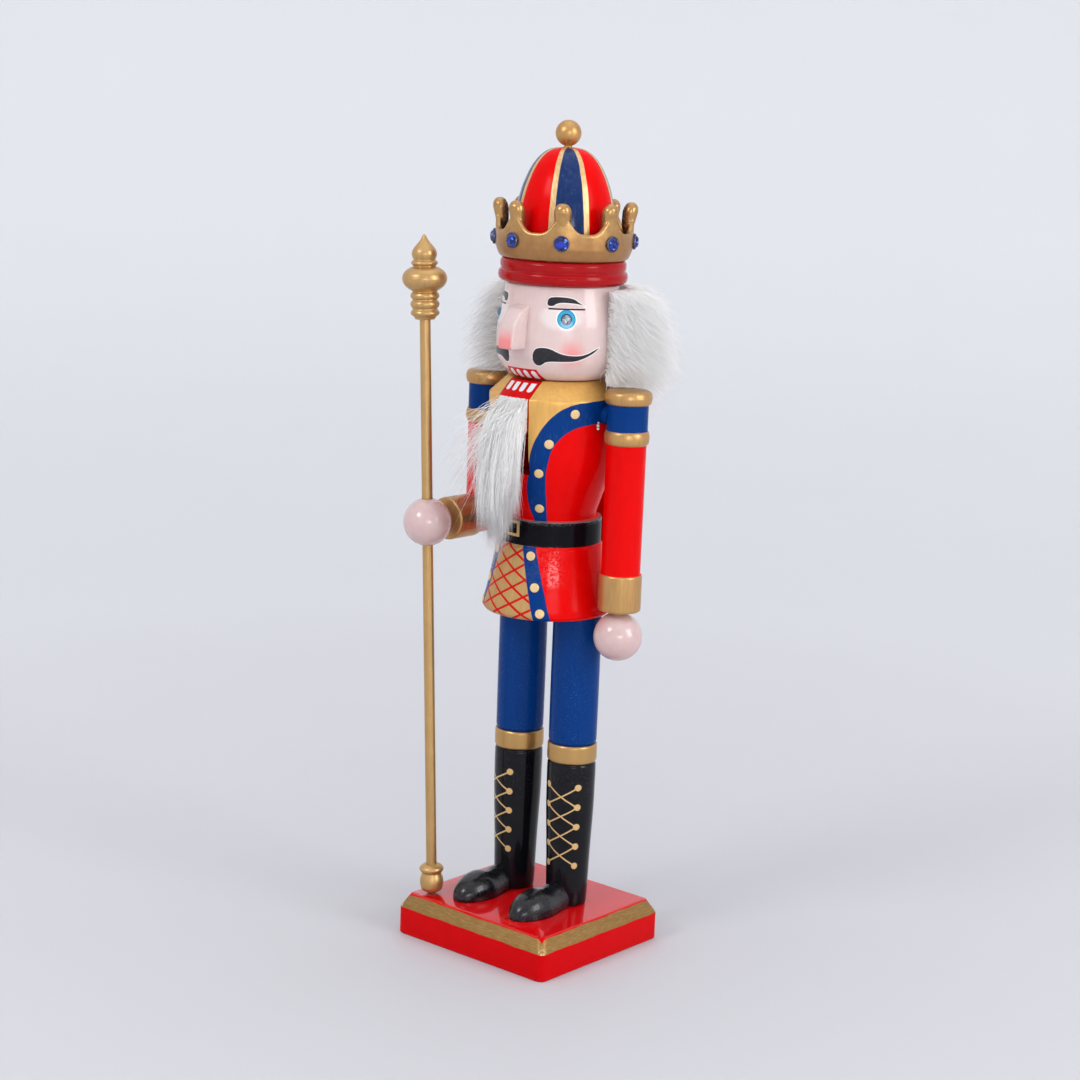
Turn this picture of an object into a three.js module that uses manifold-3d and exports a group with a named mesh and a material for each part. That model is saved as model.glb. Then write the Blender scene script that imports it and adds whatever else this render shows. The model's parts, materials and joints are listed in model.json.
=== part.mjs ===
// A king nutcracker: a turned and painted wooden figure on a square base, with a working jaw.
// Millimetres, +Z up. The figure faces -Y, its left arm is on +X, and the origin is the
// centre of the base's underside.
import * as THREE from 'three';
import { mergeVertices } from 'three/addons/utils/BufferGeometryUtils.js';
import Module from 'manifold-3d';

const wasm = await Module();
wasm.setup();

// ---- Driving dimensions ----
const GAP = 0.3;                  // glue gap between fixed pieces
const RUN = 0.3;                  // radial play of the pin, the dowels and the staff in their holes

const BASE = { width: 90, depth: 84, height: 19.4, inset: 3.7, drop: 6.3, corner: 2 };
const BODY_Y = 5;                 // axis of the torso
const HEAD_Y = 7;                 // axis of the head, hat and crown
const LEG = { x: 16.3, y: 7.7, top: 157.7 };
const TORSO = { bottom: 158, collar: 265.7 };
const HEAD = { bottom: 266, top: 308 };
const HAT = { bottom: 308.3, ledge: 318.9, top: 368 };
const BALL = { radius: 5.8, z: 374.2 };
const CROWN = {
  bottom: 319.2, wall: 31, dip: 331.5, rise: 8.5, points: 8, turn: -7, knob: 3.9, knobZ: 341, gemZ: 327.4,
};
const ARM = { x: 41.6, y: 6, shoulder: 251.5, wrist: 164.2, elbow: 196.5, cuffEnd: -20.6 };
const HAND = { radius: 11.1, leftZ: 152.3, rightY: -32.6 };
const STAFF = { foot: [-34.2, -30.2, 19.9], radius: 2.45, footTop: 13.6, finial: 269.4 };
const PIVOT = { y: 4, z: 243 };   // the pin that the jaw turns on
const JAW = { width: 17, slot: 18, floor: 224, top: 265.3 };
const PEG = { small: 2.5, large: 4, shoulder: 3.2, neckX: 15 };
const PEG_SPAN = { neck: [253.2, 278.4], hat: [295.4, 321.6], leg: [140.3, 176.1] };
const EYE = { azimuth: 45, radius: 28.3, z: 294.2 };
const SIDES = { body: 30, limb: 20, staff: 14, peg: 10 };

// ---- Paints and materials ----
const paint = (color, roughness, metalness = 0) =>
  new THREE.MeshStandardMaterial({ color, roughness, metalness });
const RED = paint(0xd80808, 0.25);
const BLUE = paint(0x123f88, 0.3);
const GOLD = paint(0xb08a50, 0.4, 0.7);
const BLACK = paint(0x141414, 0.2);
const FLESH = paint(0xe6cdd0, 0.3);
const WOOD = paint(0xcaa36c, 0.8);
const STEEL = paint(0x9a9a9c, 0.35, 0.9);
const FUR = paint(0xe6e6e4, 0.95);
const BLUE_STONE = paint(0x1020c0, 0.05, 0.2);
const CLEAR_STONE = paint(0xdfe6ea, 0.05, 0.2);

const figure = new THREE.Group();

function addPart(name, geometry, material, place = (mesh) => mesh) {
  const mesh = new THREE.Mesh(geometry, material);
  mesh.name = name;
  place(mesh);
  figure.add(mesh);
  return mesh;
}

const at = (x, y, z = 0) => (mesh) => mesh.position.set(x, y, z);

// ---- Shape helpers ----
// A turned piece about +Z. The profile lists [radius, height], from the axis back to the axis.
function turned(profile, sides) {
  const points = profile.map(([radius, height]) => new THREE.Vector2(radius, height));
  const lathe = new THREE.LatheGeometry(points, sides);
  lathe.rotateX(Math.PI / 2);
  return lathe;
}

const peg = (radius, low, high, sides = SIDES.peg) =>
  turned([[0, low], [radius, low], [radius, high], [0, high]], sides);

const ball = (radius, sides = SIDES.limb) => {
  const sphere = new THREE.SphereGeometry(radius, sides, Math.round(sides * 0.6));
  sphere.rotateX(Math.PI / 2);
  return sphere;
};

const box = (width, depth, height, x, y, z) => {
  const block = new THREE.BoxGeometry(width, depth, height);
  block.translate(x, y, z);
  return block;
};

// A flat plate of the given width along X, centred on x = 0, from an outline of [y, z] points.
function plate(outline, width) {
  const shape = new THREE.Shape(outline.map(([y, z]) => new THREE.Vector2(y, z)));
  const slab = new THREE.ExtrudeGeometry(shape, { depth: width, bevelEnabled: false });
  slab.translate(0, 0, -width / 2);
  const axes = new THREE.Matrix4().makeBasis(
    new THREE.Vector3(0, 1, 0),
    new THREE.Vector3(0, 0, 1),
    new THREE.Vector3(1, 0, 0),
  );
  slab.applyMatrix4(axes);
  return slab;
}

// A solid skinned over rings of [x, y, z] points, with the same number of points in each ring.
// The rings run counter-clockwise seen from the last ring. Closed stacks join last to first.
function skinned(rings, closed = false) {
  const count = rings[0].length;
  const positions = rings.flat(2);
  const index = [];
  const quad = (a, b, c, d) => index.push(a, b, c, a, c, d);
  const last = closed ? rings.length : rings.length - 1;
  for (let ring = 0; ring < last; ring += 1) {
    const next = (ring + 1) % rings.length;
    for (let i = 0; i < count; i += 1) {
      const j = (i + 1) % count;
      quad(ring * count + i, ring * count + j, next * count + j, next * count + i);
    }
  }
  if (!closed) {
    const top = (rings.length - 1) * count;
    for (let i = 1; i < count - 1; i += 1) {
      index.push(0, i + 1, i);
      index.push(top, top + i, top + i + 1);
    }
  }
  const geometry = new THREE.BufferGeometry();
  geometry.setAttribute('position', new THREE.Float32BufferAttribute(positions, 3));
  geometry.setIndex(index);
  geometry.computeVertexNormals();
  return geometry;
}

// ---- Joining and cutting ----
function solidOf(geometry) {
  const bare = geometry.clone();
  bare.deleteAttribute('normal');
  bare.deleteAttribute('uv');
  const merged = mergeVertices(bare, 1e-4);
  const corners = merged.index.array;
  const kept = [];
  for (let i = 0; i < corners.length; i += 3) {
    const [a, b, c] = corners.slice(i, i + 3);
    if (a !== b && b !== c && c !== a) kept.push(a, b, c);
  }
  return new wasm.Manifold(new wasm.Mesh({
    numProp: 3,
    vertProperties: new Float32Array(merged.attributes.position.array),
    triVerts: new Uint32Array(kept),
  }));
}

function geometryOf(solid) {
  const { vertProperties, triVerts } = solid.getMesh();
  const geometry = new THREE.BufferGeometry();
  geometry.setAttribute('position', new THREE.BufferAttribute(vertProperties, 3));
  geometry.setIndex(new THREE.BufferAttribute(triVerts, 1));
  geometry.computeVertexNormals();
  return geometry;
}

const cut = (geometry, ...tools) =>
  geometryOf(tools.reduce((solid, tool) => solid.subtract(solidOf(tool)), solidOf(geometry)));

const moved = (geometry, x, y, z) => geometry.clone().translate(x, y, z);

// The same shape mirrored left to right, with its faces turned to stay outward.
function mirrored(geometry) {
  const copy = geometry.clone().scale(-1, 1, 1);
  const corners = copy.index.array;
  for (let i = 0; i < corners.length; i += 3) {
    [corners[i + 1], corners[i + 2]] = [corners[i + 2], corners[i + 1]];
  }
  copy.computeVertexNormals();
  return copy;
}

// A peg lying along X or along Y, through the point given.
const pegAlongX = (radius, length, x, y, z) => peg(radius, -length / 2, length / 2).rotateY(Math.PI / 2)
  .translate(x, y, z);
const pegAlongY = (radius, length, x, y, z) => peg(radius, -length / 2, length / 2).rotateX(Math.PI / 2)
  .translate(x, y, z);

// ---- Base ----
function roundedRectangle(width, depth, radius, z) {
  const steps = 4;
  const ring = [];
  const corners = [[1, 1], [-1, 1], [-1, -1], [1, -1]];
  corners.forEach(([sx, sy], corner) => {
    for (let i = 0; i <= steps; i += 1) {
      const angle = (corner + i / steps) * Math.PI / 2;
      const x = sx * (width / 2 - radius) + radius * Math.cos(angle);
      const y = sy * (depth / 2 - radius) + radius * Math.sin(angle);
      ring.push([x, y, z]);
    }
  });
  return ring;
}

const SCREW = { shank: 2.1, head: 4, seat: 4.2, tip: 36 };

function baseBlock() {
  const { width, depth, height, inset, drop, corner } = BASE;
  const block = skinned([
    roundedRectangle(width, depth, corner, 0),
    roundedRectangle(width, depth, corner, height - drop),
    roundedRectangle(width - 2 * inset, depth - 2 * inset, corner, height),
  ]);
  const holes = [-1, 1].flatMap((side) => [
    moved(peg(SCREW.shank + RUN, -1, height + 1), side * LEG.x, LEG.y, 0),
    moved(peg(SCREW.head + RUN, -1, SCREW.seat), side * LEG.x, LEG.y, 0),
  ]);
  return cut(block, ...holes);
}

function baseScrew() {
  const { shank, head, seat, tip } = SCREW;
  const under = seat - GAP;
  return turned([
    [0, 2.2], [1.2, 2.2], [1.2, 1], [head - 0.6, 1], [head, 1.6], [head, under],
    [shank, under], [shank, tip - 4], [0, tip],
  ], SIDES.peg);
}

// ---- Legs and shoes ----
const LEG_PROFILE = [
  [0, SCREW.tip + 1], [SCREW.shank + RUN, SCREW.tip + 1], [SCREW.shank + RUN, BASE.height + GAP],
  [9.2, BASE.height + GAP], [9.5, 22], [10.2, 45], [11.1, 66], [11.2, 87.2],
  [10.7, 88.4], [11.45, 89.4], [11.45, 96.5], [10.7, 97.5], [11.1, 98.8],
  [11.15, 156.5], [10.8, LEG.top], [PEG.large + RUN, LEG.top],
  [PEG.large + RUN, LEG.top - 18], [0, LEG.top - 18],
];

const SHOE = { halfWidth: 9.3, halfLength: 17.2, height: 12.6, y: -13.9, toeOut: 1.1 };

function shoe() {
  const quarter = [[0, 0]];
  const steps = 6;
  for (let i = 0; i <= steps; i += 1) {
    const angle = i / steps * Math.PI / 2;
    quarter.push([Math.cos(angle), Math.sin(angle)]);
  }
  quarter.at(-1)[0] = 0;
  const dome = turned(quarter, 20);
  dome.scale(SHOE.halfWidth, SHOE.halfLength, SHOE.height);
  const boot = moved(peg(10.4, -5, 30, SIDES.limb), -SHOE.toeOut, LEG.y - SHOE.y, 0);
  return cut(dome, boot);
}

// ---- Torso ----
const TORSO_PROFILE = [
  [0, TORSO.bottom], [28.4, TORSO.bottom], [29.6, 159.2], [29.5, 161.5], [28, 168.5],
  [26.2, 178], [24.9, 186], [24.5, 189.4], [23.5, 190.9], [23.5, 202.3],
  [20.6, 202.8], [20.9, 204.6], [23.6, 213], [27.4, 224.5], [29.2, 236],
  [29.5, 250], [30, 256.5], [29.8, 258.2], [22.2, 265.2], [21.6, TORSO.collar], [0, TORSO.collar],
];

function torso() {
  const pegs = [-1, 1].flatMap((side) => [
    moved(peg(PEG.large + RUN, TORSO.bottom - 5, LEG.top + 19), side * LEG.x, LEG.y - BODY_Y, 0),
    moved(peg(PEG.small + RUN, TORSO.collar - 13, TORSO.collar + 5), side * PEG.neckX, 2, 0),
    pegAlongX(PEG.shoulder + RUN, 20, side * 31, ARM.y - BODY_Y, ARM.shoulder),
  ]);
  const slotHeight = TORSO.collar + 5 - JAW.floor;
  const slot = box(JAW.slot, 90, slotHeight, 0, 0, JAW.floor + slotHeight / 2);
  const pinHole = pegAlongX(PIN.radius + RUN, 80, 0, PIVOT.y - BODY_Y, PIVOT.z);
  return cut(turned(TORSO_PROFILE, SIDES.body), ...pegs, slot, pinHole);
}

// ---- Jaw ----
const PIN = { radius: 1.5, length: 54 };

// Side view of the lever as [y, z]: the jaw plate in front, the floor of the mouth, the top of the
// slot at the back, and the handle hanging down behind the figure.
const LEVER_OUTLINE = [
  [-35, JAW.top], [-10, JAW.top], [-3, 253.5], [14, 252], [29, 254.2], [37.5, 253.6], [42.5, 250],
  [45, 244], [44.6, 205], [45.6, 170], [44.6, 166], [41.6, 164.5], [39, 166.5], [38.4, 205],
  [38.6, 229], [36.4, 234.5], [30, 236.8], [10, 235.4], [2, 235], [-6, 237.6], [-12, 241.4],
  [-20, 243.4], [-35, 243.4],
];

function jawLever() {
  const outline = moved(turned(TORSO_PROFILE, SIDES.body), 0, BODY_Y, 0);
  const behind = box(60, 60, 140, 0, 30, 215);
  const keep = solidOf(outline).add(solidOf(behind));
  const bore = solidOf(pegAlongX(PIN.radius + RUN, 40, 0, PIVOT.y, PIVOT.z));
  const lever = solidOf(plate([...LEVER_OUTLINE].reverse(), JAW.width));
  return geometryOf(lever.intersect(keep).subtract(bore));
}

// The beard is a flat tongue of fur, hung from the jaw below the teeth.
function beard() {
  const levels = [
    { z: 192, x: -4, y: -27, width: 13, thickness: 3 },
    { z: 205, x: -3, y: -28, width: 21, thickness: 5 },
    { z: 228, x: -1.5, y: -28.8, width: 21, thickness: 5.4 },
    { z: 250, x: -0.5, y: -28.8, width: 18, thickness: 5.2 },
    { z: 257.5, x: 0, y: -27.8, width: 16, thickness: 3 },
  ];
  const sides = 12;
  return skinned(levels.map(({ z, x, y, width, thickness }) => {
    const ring = [];
    for (let i = 0; i < sides; i += 1) {
      const angle = i / sides * 2 * Math.PI;
      ring.push([x + width / 2 * Math.cos(angle), y + thickness / 2 * Math.sin(angle), z]);
    }
    return ring;
  }));
}

// ---- Head ----
const HEAD_PROFILE = [
  [0, HEAD.bottom], [21.6, HEAD.bottom], [22.7, 266.8], [26.4, 270.4], [28.3, 274.5], [29, 279],
  [28.9, 286], [28.3, 293], [26.8, 300.6], [25.9, 305], [25.4, HEAD.top],
  [PEG.large + RUN, HEAD.top], [PEG.large + RUN, 295], [0, 295],
];

function head() {
  const necks = [-1, 1].map((side) =>
    moved(peg(PEG.small + RUN, HEAD.bottom - 5, HEAD.bottom + 13), side * PEG.neckX, 0, 0));
  return cut(turned(HEAD_PROFILE, SIDES.body), ...necks);
}

const NOSE = { width: 8.4, bottom: 280 };

function nose() {
  const side = plate([
    [-10, 298.6], [-21, 298.6], [-24, 297.4], [-27.6, 294.6], [-29.8, 290.5], [-30.8, 285.5],
    [-31, NOSE.bottom + 1], [-30.2, NOSE.bottom], [-10, NOSE.bottom],
  ], NOSE.width);
  const solidHead = HEAD_PROFILE.slice(0, -2).map(([radius, z]) => [radius && radius + GAP, z]);
  solidHead[solidHead.length - 1][0] = 0;
  return cut(side, moved(turned(solidHead, SIDES.body), 0, HEAD_Y, 0));
}

// A faceted stone, flat at the back, facing +Z.
const stone = (radius, height) =>
  turned([[0, 0], [radius, 0], [radius, height * 0.3], [radius * 0.62, height], [0, height]], 8);

// Puts a mesh that faces +Z on an upright cylinder, at an azimuth counted from -Y towards +X.
function onCylinder(azimuth, radius, z) {
  return (mesh) => {
    const angle = THREE.MathUtils.degToRad(azimuth);
    const outward = new THREE.Vector3(Math.sin(angle), -Math.cos(angle), 0);
    mesh.quaternion.setFromUnitVectors(new THREE.Vector3(0, 0, 1), outward);
    mesh.position.set(0, HEAD_Y, z).addScaledVector(outward, radius);
  };
}

// The hair wraps the sides and back of the head. It stops above the shoulders and above the
// jaw's handle, and hangs lower between them.
const HAIR = { from: 94, inner: 31.4, outer: 44, top: 306, hem: 266.5, lowHem: 247 };

function hair() {
  const steps = 24;
  const rings = [];
  for (let i = 0; i <= steps; i += 1) {
    const azimuth = HAIR.from + (360 - 2 * HAIR.from) * i / steps;
    const fromBack = Math.abs(180 - azimuth);
    const hangs = fromBack > 25 && fromBack < 56;
    const hem = hangs ? HAIR.lowHem : HAIR.hem;
    const thin = i === 0 || i === steps ? 0.6 : 1;
    const outer = HAIR.inner + (HAIR.outer - HAIR.inner) * thin;
    const angle = THREE.MathUtils.degToRad(azimuth);
    const section = [
      [HAIR.inner, HAIR.top], [outer - 6, HAIR.top], [outer - 1, 290], [outer, hem + 12],
      [outer - 3, hem], [HAIR.inner, hem],
    ];
    rings.push(section.map(([radius, z]) =>
      [radius * Math.sin(angle), HEAD_Y - radius * Math.cos(angle), z]));
  }
  return skinned(rings);
}

// ---- Hat and crown ----
const HAT_PROFILE = [
  [0, 322], [PEG.large + RUN, 322], [PEG.large + RUN, HAT.bottom], [27.6, HAT.bottom],
  [28.9, 309.6], [29.3, 311.4], [28.8, 313], [27.9, 313.8], [28.3, 315.2], [28.3, 317.2],
  [27.6, 318.5], [26.8, HAT.ledge], [23.8, HAT.ledge], [23.6, 325], [23, 333], [21.8, 342],
  [19.5, 351], [16, 359], [12.4, 363.9], [8, 367], [2 + RUN, HAT.top],
  [2 + RUN, HAT.top - 8], [0, HAT.top - 8],
];

function hatBall() {
  const { radius, z } = BALL;
  const steps = 8;
  const start = Math.asin(2 / radius);
  const profile = [[0, HAT.top - 7.5], [2, HAT.top - 7.5]];
  for (let i = 0; i <= steps; i += 1) {
    const angle = start + (Math.PI - start) * i / steps;
    profile.push([radius * Math.sin(angle), z - radius * Math.cos(angle)]);
  }
  profile.at(-1)[0] = 0;
  return turned(profile, SIDES.limb);
}

function crown() {
  const { points, bottom, wall, dip, rise, turn, knob, knobZ } = CROWN;
  const perPoint = 6;
  const rings = [];
  for (let i = 0; i < points * perPoint; i += 1) {
    const azimuth = THREE.MathUtils.degToRad(turn) + i / (points * perPoint) * 2 * Math.PI;
    const lift = ((1 + Math.cos(i / perPoint * 2 * Math.PI)) / 2) ** 2.2;
    const top = dip + rise * lift;
    const lean = 0.6 * lift;
    const section = [
      [27.2, bottom], [28, 324], [28.2, 330.6], [wall - 2.6 - lean, top], [wall - lean, top],
      [wall, 330.6], [wall, 324], [29.6, 320.8], [28.4, bottom],
    ];
    rings.push(section.map(([radius, z]) =>
      [radius * Math.sin(azimuth), -radius * Math.cos(azimuth), z]));
  }
  let solid = solidOf(skinned(rings, true));
  for (let point = 0; point < points; point += 1) {
    const azimuth = THREE.MathUtils.degToRad(turn + point * 360 / points);
    const knobX = 29.2 * Math.sin(azimuth);
    const knobY = -29.2 * Math.cos(azimuth);
    solid = solid.add(solidOf(moved(ball(knob, 9), knobX, knobY, knobZ)));
  }
  return geometryOf(solid);
}

// ---- Arms ----
const SLEEVE_TOP = [
  [9, 239.8], [9.9, 240.5], [10.2, 243], [9.9, 245.4], [9.2, 246.2], [9.2, 257.6],
  [10.2, 258.4], [10.7, 261], [10.1, 263.3], [8.8, 264], [0, 264],
];

function leftArm() {
  const wristHole = ARM.wrist + 12;
  const profile = [
    [0, wristHole], [PEG.shoulder + RUN, wristHole], [PEG.shoulder + RUN, ARM.wrist],
    [9.2, ARM.wrist], [9.7, 165], [9.7, 180.3], [9.3, 181], [8.8, 181.4], ...SLEEVE_TOP,
  ];
  return cut(turned(profile, SIDES.limb), pegAlongX(PEG.shoulder + RUN, 17, -3.5, 0, ARM.shoulder));
}

const MITRE = Math.PI / 4;

function rightUpperArm() {
  const upright = turned([[0, ARM.elbow - 12], [8.8, ARM.elbow - 12], ...SLEEVE_TOP], SIDES.limb);
  const waste = box(40, 60, 40, 0, 0, -20 + GAP / 2).rotateX(-MITRE).translate(0, 0, ARM.elbow);
  const shoulder = pegAlongX(PEG.shoulder + RUN, 17, 3.5, 0, ARM.shoulder);
  return cut(upright, waste, elbowPeg(PEG.small + RUN, 8).translate(0, 0, ARM.elbow), shoulder);
}

// The elbow peg stands square to the mitred faces.
const elbowPeg = (radius, reach) => peg(radius, -reach, reach).rotateX(-MITRE);

// The forearm is turned along +Z, then laid along -Y with its cuff in front.
function rightForearm() {
  const length = ARM.y - ARM.cuffEnd;
  const cuff = length - 16.8;
  const lying = turned([
    [0, -12], [8.8, -12], [8.8, cuff - 0.4], [9.3, cuff], [9.9, cuff + 0.8], [9.9, length - 0.8],
    [9.4, length], [PEG.shoulder + RUN, length], [PEG.shoulder + RUN, length - 12], [0, length - 12],
  ], SIDES.limb).rotateX(Math.PI / 2);
  const waste = box(40, 60, 40, 0, 0, 20 - GAP / 2).rotateX(-MITRE);
  return cut(lying, waste, elbowPeg(PEG.small + RUN, 8));
}

// ---- Staff ----
const HAND_CENTRE = new THREE.Vector3(-ARM.x, HAND.rightY, ARM.elbow);
const STAFF_FOOT = new THREE.Vector3(...STAFF.foot);
const STAFF_AXIS = HAND_CENTRE.clone().sub(STAFF_FOOT).normalize();

const alongStaff = (mesh) => {
  mesh.position.copy(STAFF_FOOT);
  mesh.quaternion.setFromUnitVectors(new THREE.Vector3(0, 0, 1), STAFF_AXIS);
};

function rightHand() {
  const grip = peg(STAFF.radius + RUN, -20, 20, SIDES.staff);
  grip.applyQuaternion(new THREE.Quaternion().setFromUnitVectors(new THREE.Vector3(0, 0, 1), STAFF_AXIS));
  const wrist = pegAlongY(PEG.shoulder + RUN, 12, 0, 11, 0);
  return cut(ball(HAND.radius), grip, wrist);
}

function leftHand() {
  return cut(ball(HAND.radius), peg(PEG.shoulder + RUN, 3, 20));
}

const SOCKET = STAFF.radius + RUN;

function staffFoot() {
  return turned([
    [0, 0], [2.4, 0], [4.6, 1.9], [5.5, 5], [4.7, 8], [3.9, 9.2], [4.7, 9.9], [5.8, 11.2],
    [4.9, 12.8], [3.6, STAFF.footTop], [SOCKET, STAFF.footTop], [SOCKET, 6], [0, 6],
  ], SIDES.staff);
}

function staffFinial() {
  const low = STAFF.finial;
  const profile = [
    [SOCKET, 0], [4.6, 0], [5, 1], [6.6, 2.8], [5.6, 4.6], [6.6, 6.9], [5.6, 8.8], [6.6, 10.7],
    [5.4, 12.6], [8.6, 15], [10.2, 18.4], [8.8, 21.6], [5.2, 23.6], [6.1, 25.3], [4.8, 26.6],
    [5.75, 29.4], [4.2, 32.4], [1.6, 35.6], [0, 38.3],
  ];
  const outside = profile.map(([radius, height]) => [radius, low + height]);
  return turned([[0, low + 10], [SOCKET, low + 10], ...outside], SIDES.staff);
}

// ---- Assembly ----
addPart('base_block', baseBlock(), RED);
addPart('torso', torso(), RED, at(0, BODY_Y));
addPart('head', head(), FLESH, at(0, HEAD_Y));
addPart('nose', nose(), FLESH);
addPart('hair', hair(), FUR);
addPart('jaw_lever', jawLever(), RED);
addPart('jaw_pin', pegAlongX(PIN.radius, PIN.length, 0, PIVOT.y, PIVOT.z), STEEL);
addPart('beard', beard(), FUR);
addPart('hat', turned(HAT_PROFILE, SIDES.body), RED, at(0, HEAD_Y));
addPart('hat_dowel', peg(PEG.large, ...PEG_SPAN.hat), WOOD, at(0, HEAD_Y));
addPart('hat_ball', hatBall(), GOLD, at(0, HEAD_Y));
addPart('crown', crown(), GOLD, at(0, HEAD_Y));

for (let i = 0; i < CROWN.points; i += 1) {
  const azimuth = CROWN.turn + i * 360 / CROWN.points;
  addPart(`crown_gem_${i + 1}`, stone(3.2, 2), BLUE_STONE,
    onCylinder(azimuth, CROWN.wall + GAP, CROWN.gemZ));
}

[['left', 1], ['right', -1]].forEach(([side, sign]) => {
  const legX = sign * LEG.x;
  addPart(`base_screw_${side}`, baseScrew(), STEEL, at(legX, LEG.y));
  addPart(`leg_${side}`, turned(LEG_PROFILE, SIDES.limb), BLUE, at(legX, LEG.y));
  addPart(`leg_dowel_${side}`, peg(PEG.large, ...PEG_SPAN.leg), WOOD, at(legX, LEG.y));
  addPart(`shoe_${side}`, sign > 0 ? shoe() : mirrored(shoe()), BLACK,
    at(sign * (LEG.x + SHOE.toeOut), SHOE.y, BASE.height + GAP));
  addPart(`neck_dowel_${side}`, peg(PEG.small, ...PEG_SPAN.neck), WOOD, at(sign * PEG.neckX, HEAD_Y));
  addPart(`shoulder_dowel_${side}`, pegAlongX(PEG.shoulder, 24.6, 0, 0, 0), WOOD,
    at(sign * (ARM.x - 7.8), ARM.y, ARM.shoulder));
  addPart(`eye_gem_${side}`, stone(1.9, 1), CLEAR_STONE,
    onCylinder(sign * EYE.azimuth, EYE.radius + GAP, EYE.z));
});

addPart('left_arm', leftArm(), RED, at(ARM.x, ARM.y));
addPart('left_hand', leftHand(), FLESH, at(ARM.x, ARM.y, HAND.leftZ));
addPart('wrist_dowel_left', peg(PEG.shoulder, HAND.leftZ + 3.4, ARM.wrist + 11.6), WOOD, at(ARM.x, ARM.y));
addPart('right_upper_arm', rightUpperArm(), RED, at(-ARM.x, ARM.y));
addPart('right_forearm', rightForearm(), RED, at(-ARM.x, ARM.y, ARM.elbow));
addPart('elbow_dowel', elbowPeg(PEG.small, 7.6), WOOD, at(-ARM.x, ARM.y, ARM.elbow));
addPart('right_hand', rightHand(), FLESH, (mesh) => mesh.position.copy(HAND_CENTRE));
addPart('wrist_dowel_right', pegAlongY(PEG.shoulder, 18, 0, 0, 0), WOOD,
  at(-ARM.x, ARM.cuffEnd + 2.2, ARM.elbow));

addPart('staff_rod', peg(STAFF.radius, 6.4, STAFF.finial + 9.6, SIDES.staff), GOLD, alongStaff);
addPart('staff_foot', staffFoot(), GOLD, alongStaff);
addPart('staff_finial', staffFinial(), GOLD, alongStaff);

export default figure;
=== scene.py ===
import json
import math

import bmesh
import bpy
import numpy as np
from mathutils import Matrix, Vector


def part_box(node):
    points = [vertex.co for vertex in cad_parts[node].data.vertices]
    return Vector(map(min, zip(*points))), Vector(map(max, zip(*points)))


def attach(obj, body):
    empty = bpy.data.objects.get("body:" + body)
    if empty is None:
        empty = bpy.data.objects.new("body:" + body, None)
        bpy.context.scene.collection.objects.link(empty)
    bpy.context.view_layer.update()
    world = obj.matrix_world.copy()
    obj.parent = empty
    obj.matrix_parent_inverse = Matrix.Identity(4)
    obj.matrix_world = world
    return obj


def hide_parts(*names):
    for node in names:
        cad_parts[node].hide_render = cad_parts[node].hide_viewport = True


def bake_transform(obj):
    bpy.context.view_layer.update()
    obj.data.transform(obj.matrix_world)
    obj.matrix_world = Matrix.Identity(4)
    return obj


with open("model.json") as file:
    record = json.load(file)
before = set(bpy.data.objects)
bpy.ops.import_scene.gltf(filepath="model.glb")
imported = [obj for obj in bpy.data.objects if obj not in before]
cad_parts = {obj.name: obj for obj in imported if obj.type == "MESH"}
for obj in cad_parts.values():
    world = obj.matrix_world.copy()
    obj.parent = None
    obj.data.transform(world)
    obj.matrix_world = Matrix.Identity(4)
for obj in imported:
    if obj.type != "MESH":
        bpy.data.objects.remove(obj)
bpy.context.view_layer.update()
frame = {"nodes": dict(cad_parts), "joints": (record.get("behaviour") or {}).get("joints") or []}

MM = 0.001
UP = Vector((0, 0, 1))
EVEN = (1, 1, 1)                      # the stretch of a noise that is the same every way


# ---- Places and sizes read from the frame ----
def low(node):
    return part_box(node)[0] / MM


def high(node):
    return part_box(node)[1] / MM


def middle(node):
    return (low(node) + high(node)) / 2


BASE_TOP = high("base_block").z
TORSO_AXIS = Vector((0, middle("torso").y, 0))
HEAD_AXIS = Vector((0, middle("hat").y, 0))
LEG_AXIS = middle("leg_left")
ARM_AXIS = middle("left_arm")
HAND_RADIUS = middle("left_hand").x - low("left_hand").x
STAFF_LIFT = next(j for j in frame["joints"] if j["name"] == "staff_lift")
STAFF_AXIS = Vector(STAFF_LIFT["axis"])
FIGURE, JAW, STAFF = "figure", "jaw", "staff"


# ---- Meshes ----
def new_object(name, verts, faces, smooth=40):
    """An object from points in millimetres. Edges sharper than smooth degrees stay crisp."""
    mesh = bpy.data.meshes.new(name)
    mesh.from_pydata([tuple(v) for v in np.asarray(verts, float) * MM], [], faces)
    mesh.validate()
    obj = bpy.data.objects.new(name, mesh)
    bpy.context.scene.collection.objects.link(obj)
    shade(obj, smooth)
    return obj


def shade(obj, angle):
    bm = bmesh.new()
    bm.from_mesh(obj.data)
    bmesh.ops.recalc_face_normals(bm, faces=bm.faces)
    bm.to_mesh(obj.data)
    bm.free()
    obj.data.polygons.foreach_set("use_smooth", [True] * len(obj.data.polygons))
    obj.data.set_sharp_from_angle(angle=math.radians(angle))


def apply_modifiers(obj):
    bpy.context.view_layer.update()
    evaluated = obj.evaluated_get(bpy.context.evaluated_depsgraph_get())
    mesh = bpy.data.meshes.new_from_object(evaluated)
    obj.modifiers.clear()
    obj.data = mesh
    return obj


def soften(points, radius, steps=3):
    """A profile with each inner corner rounded. The first and last points stay."""
    out = [Vector(points[0])]
    for before, corner, after in zip(points, points[1:], points[2:]):
        before, corner, after = Vector(before), Vector(corner), Vector(after)
        if bend_at(before, corner, after) < 14:
            out.append(corner)
            continue
        back, ahead = before - corner, after - corner
        reach = min(radius, back.length * 0.45, ahead.length * 0.45)
        start = corner + back.normalized() * reach
        end = corner + ahead.normalized() * reach
        for i in range(steps + 1):
            t = i / steps
            out.append(start.lerp(corner, t).lerp(corner.lerp(end, t), t))
    out.append(Vector(points[-1]))
    return out


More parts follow.
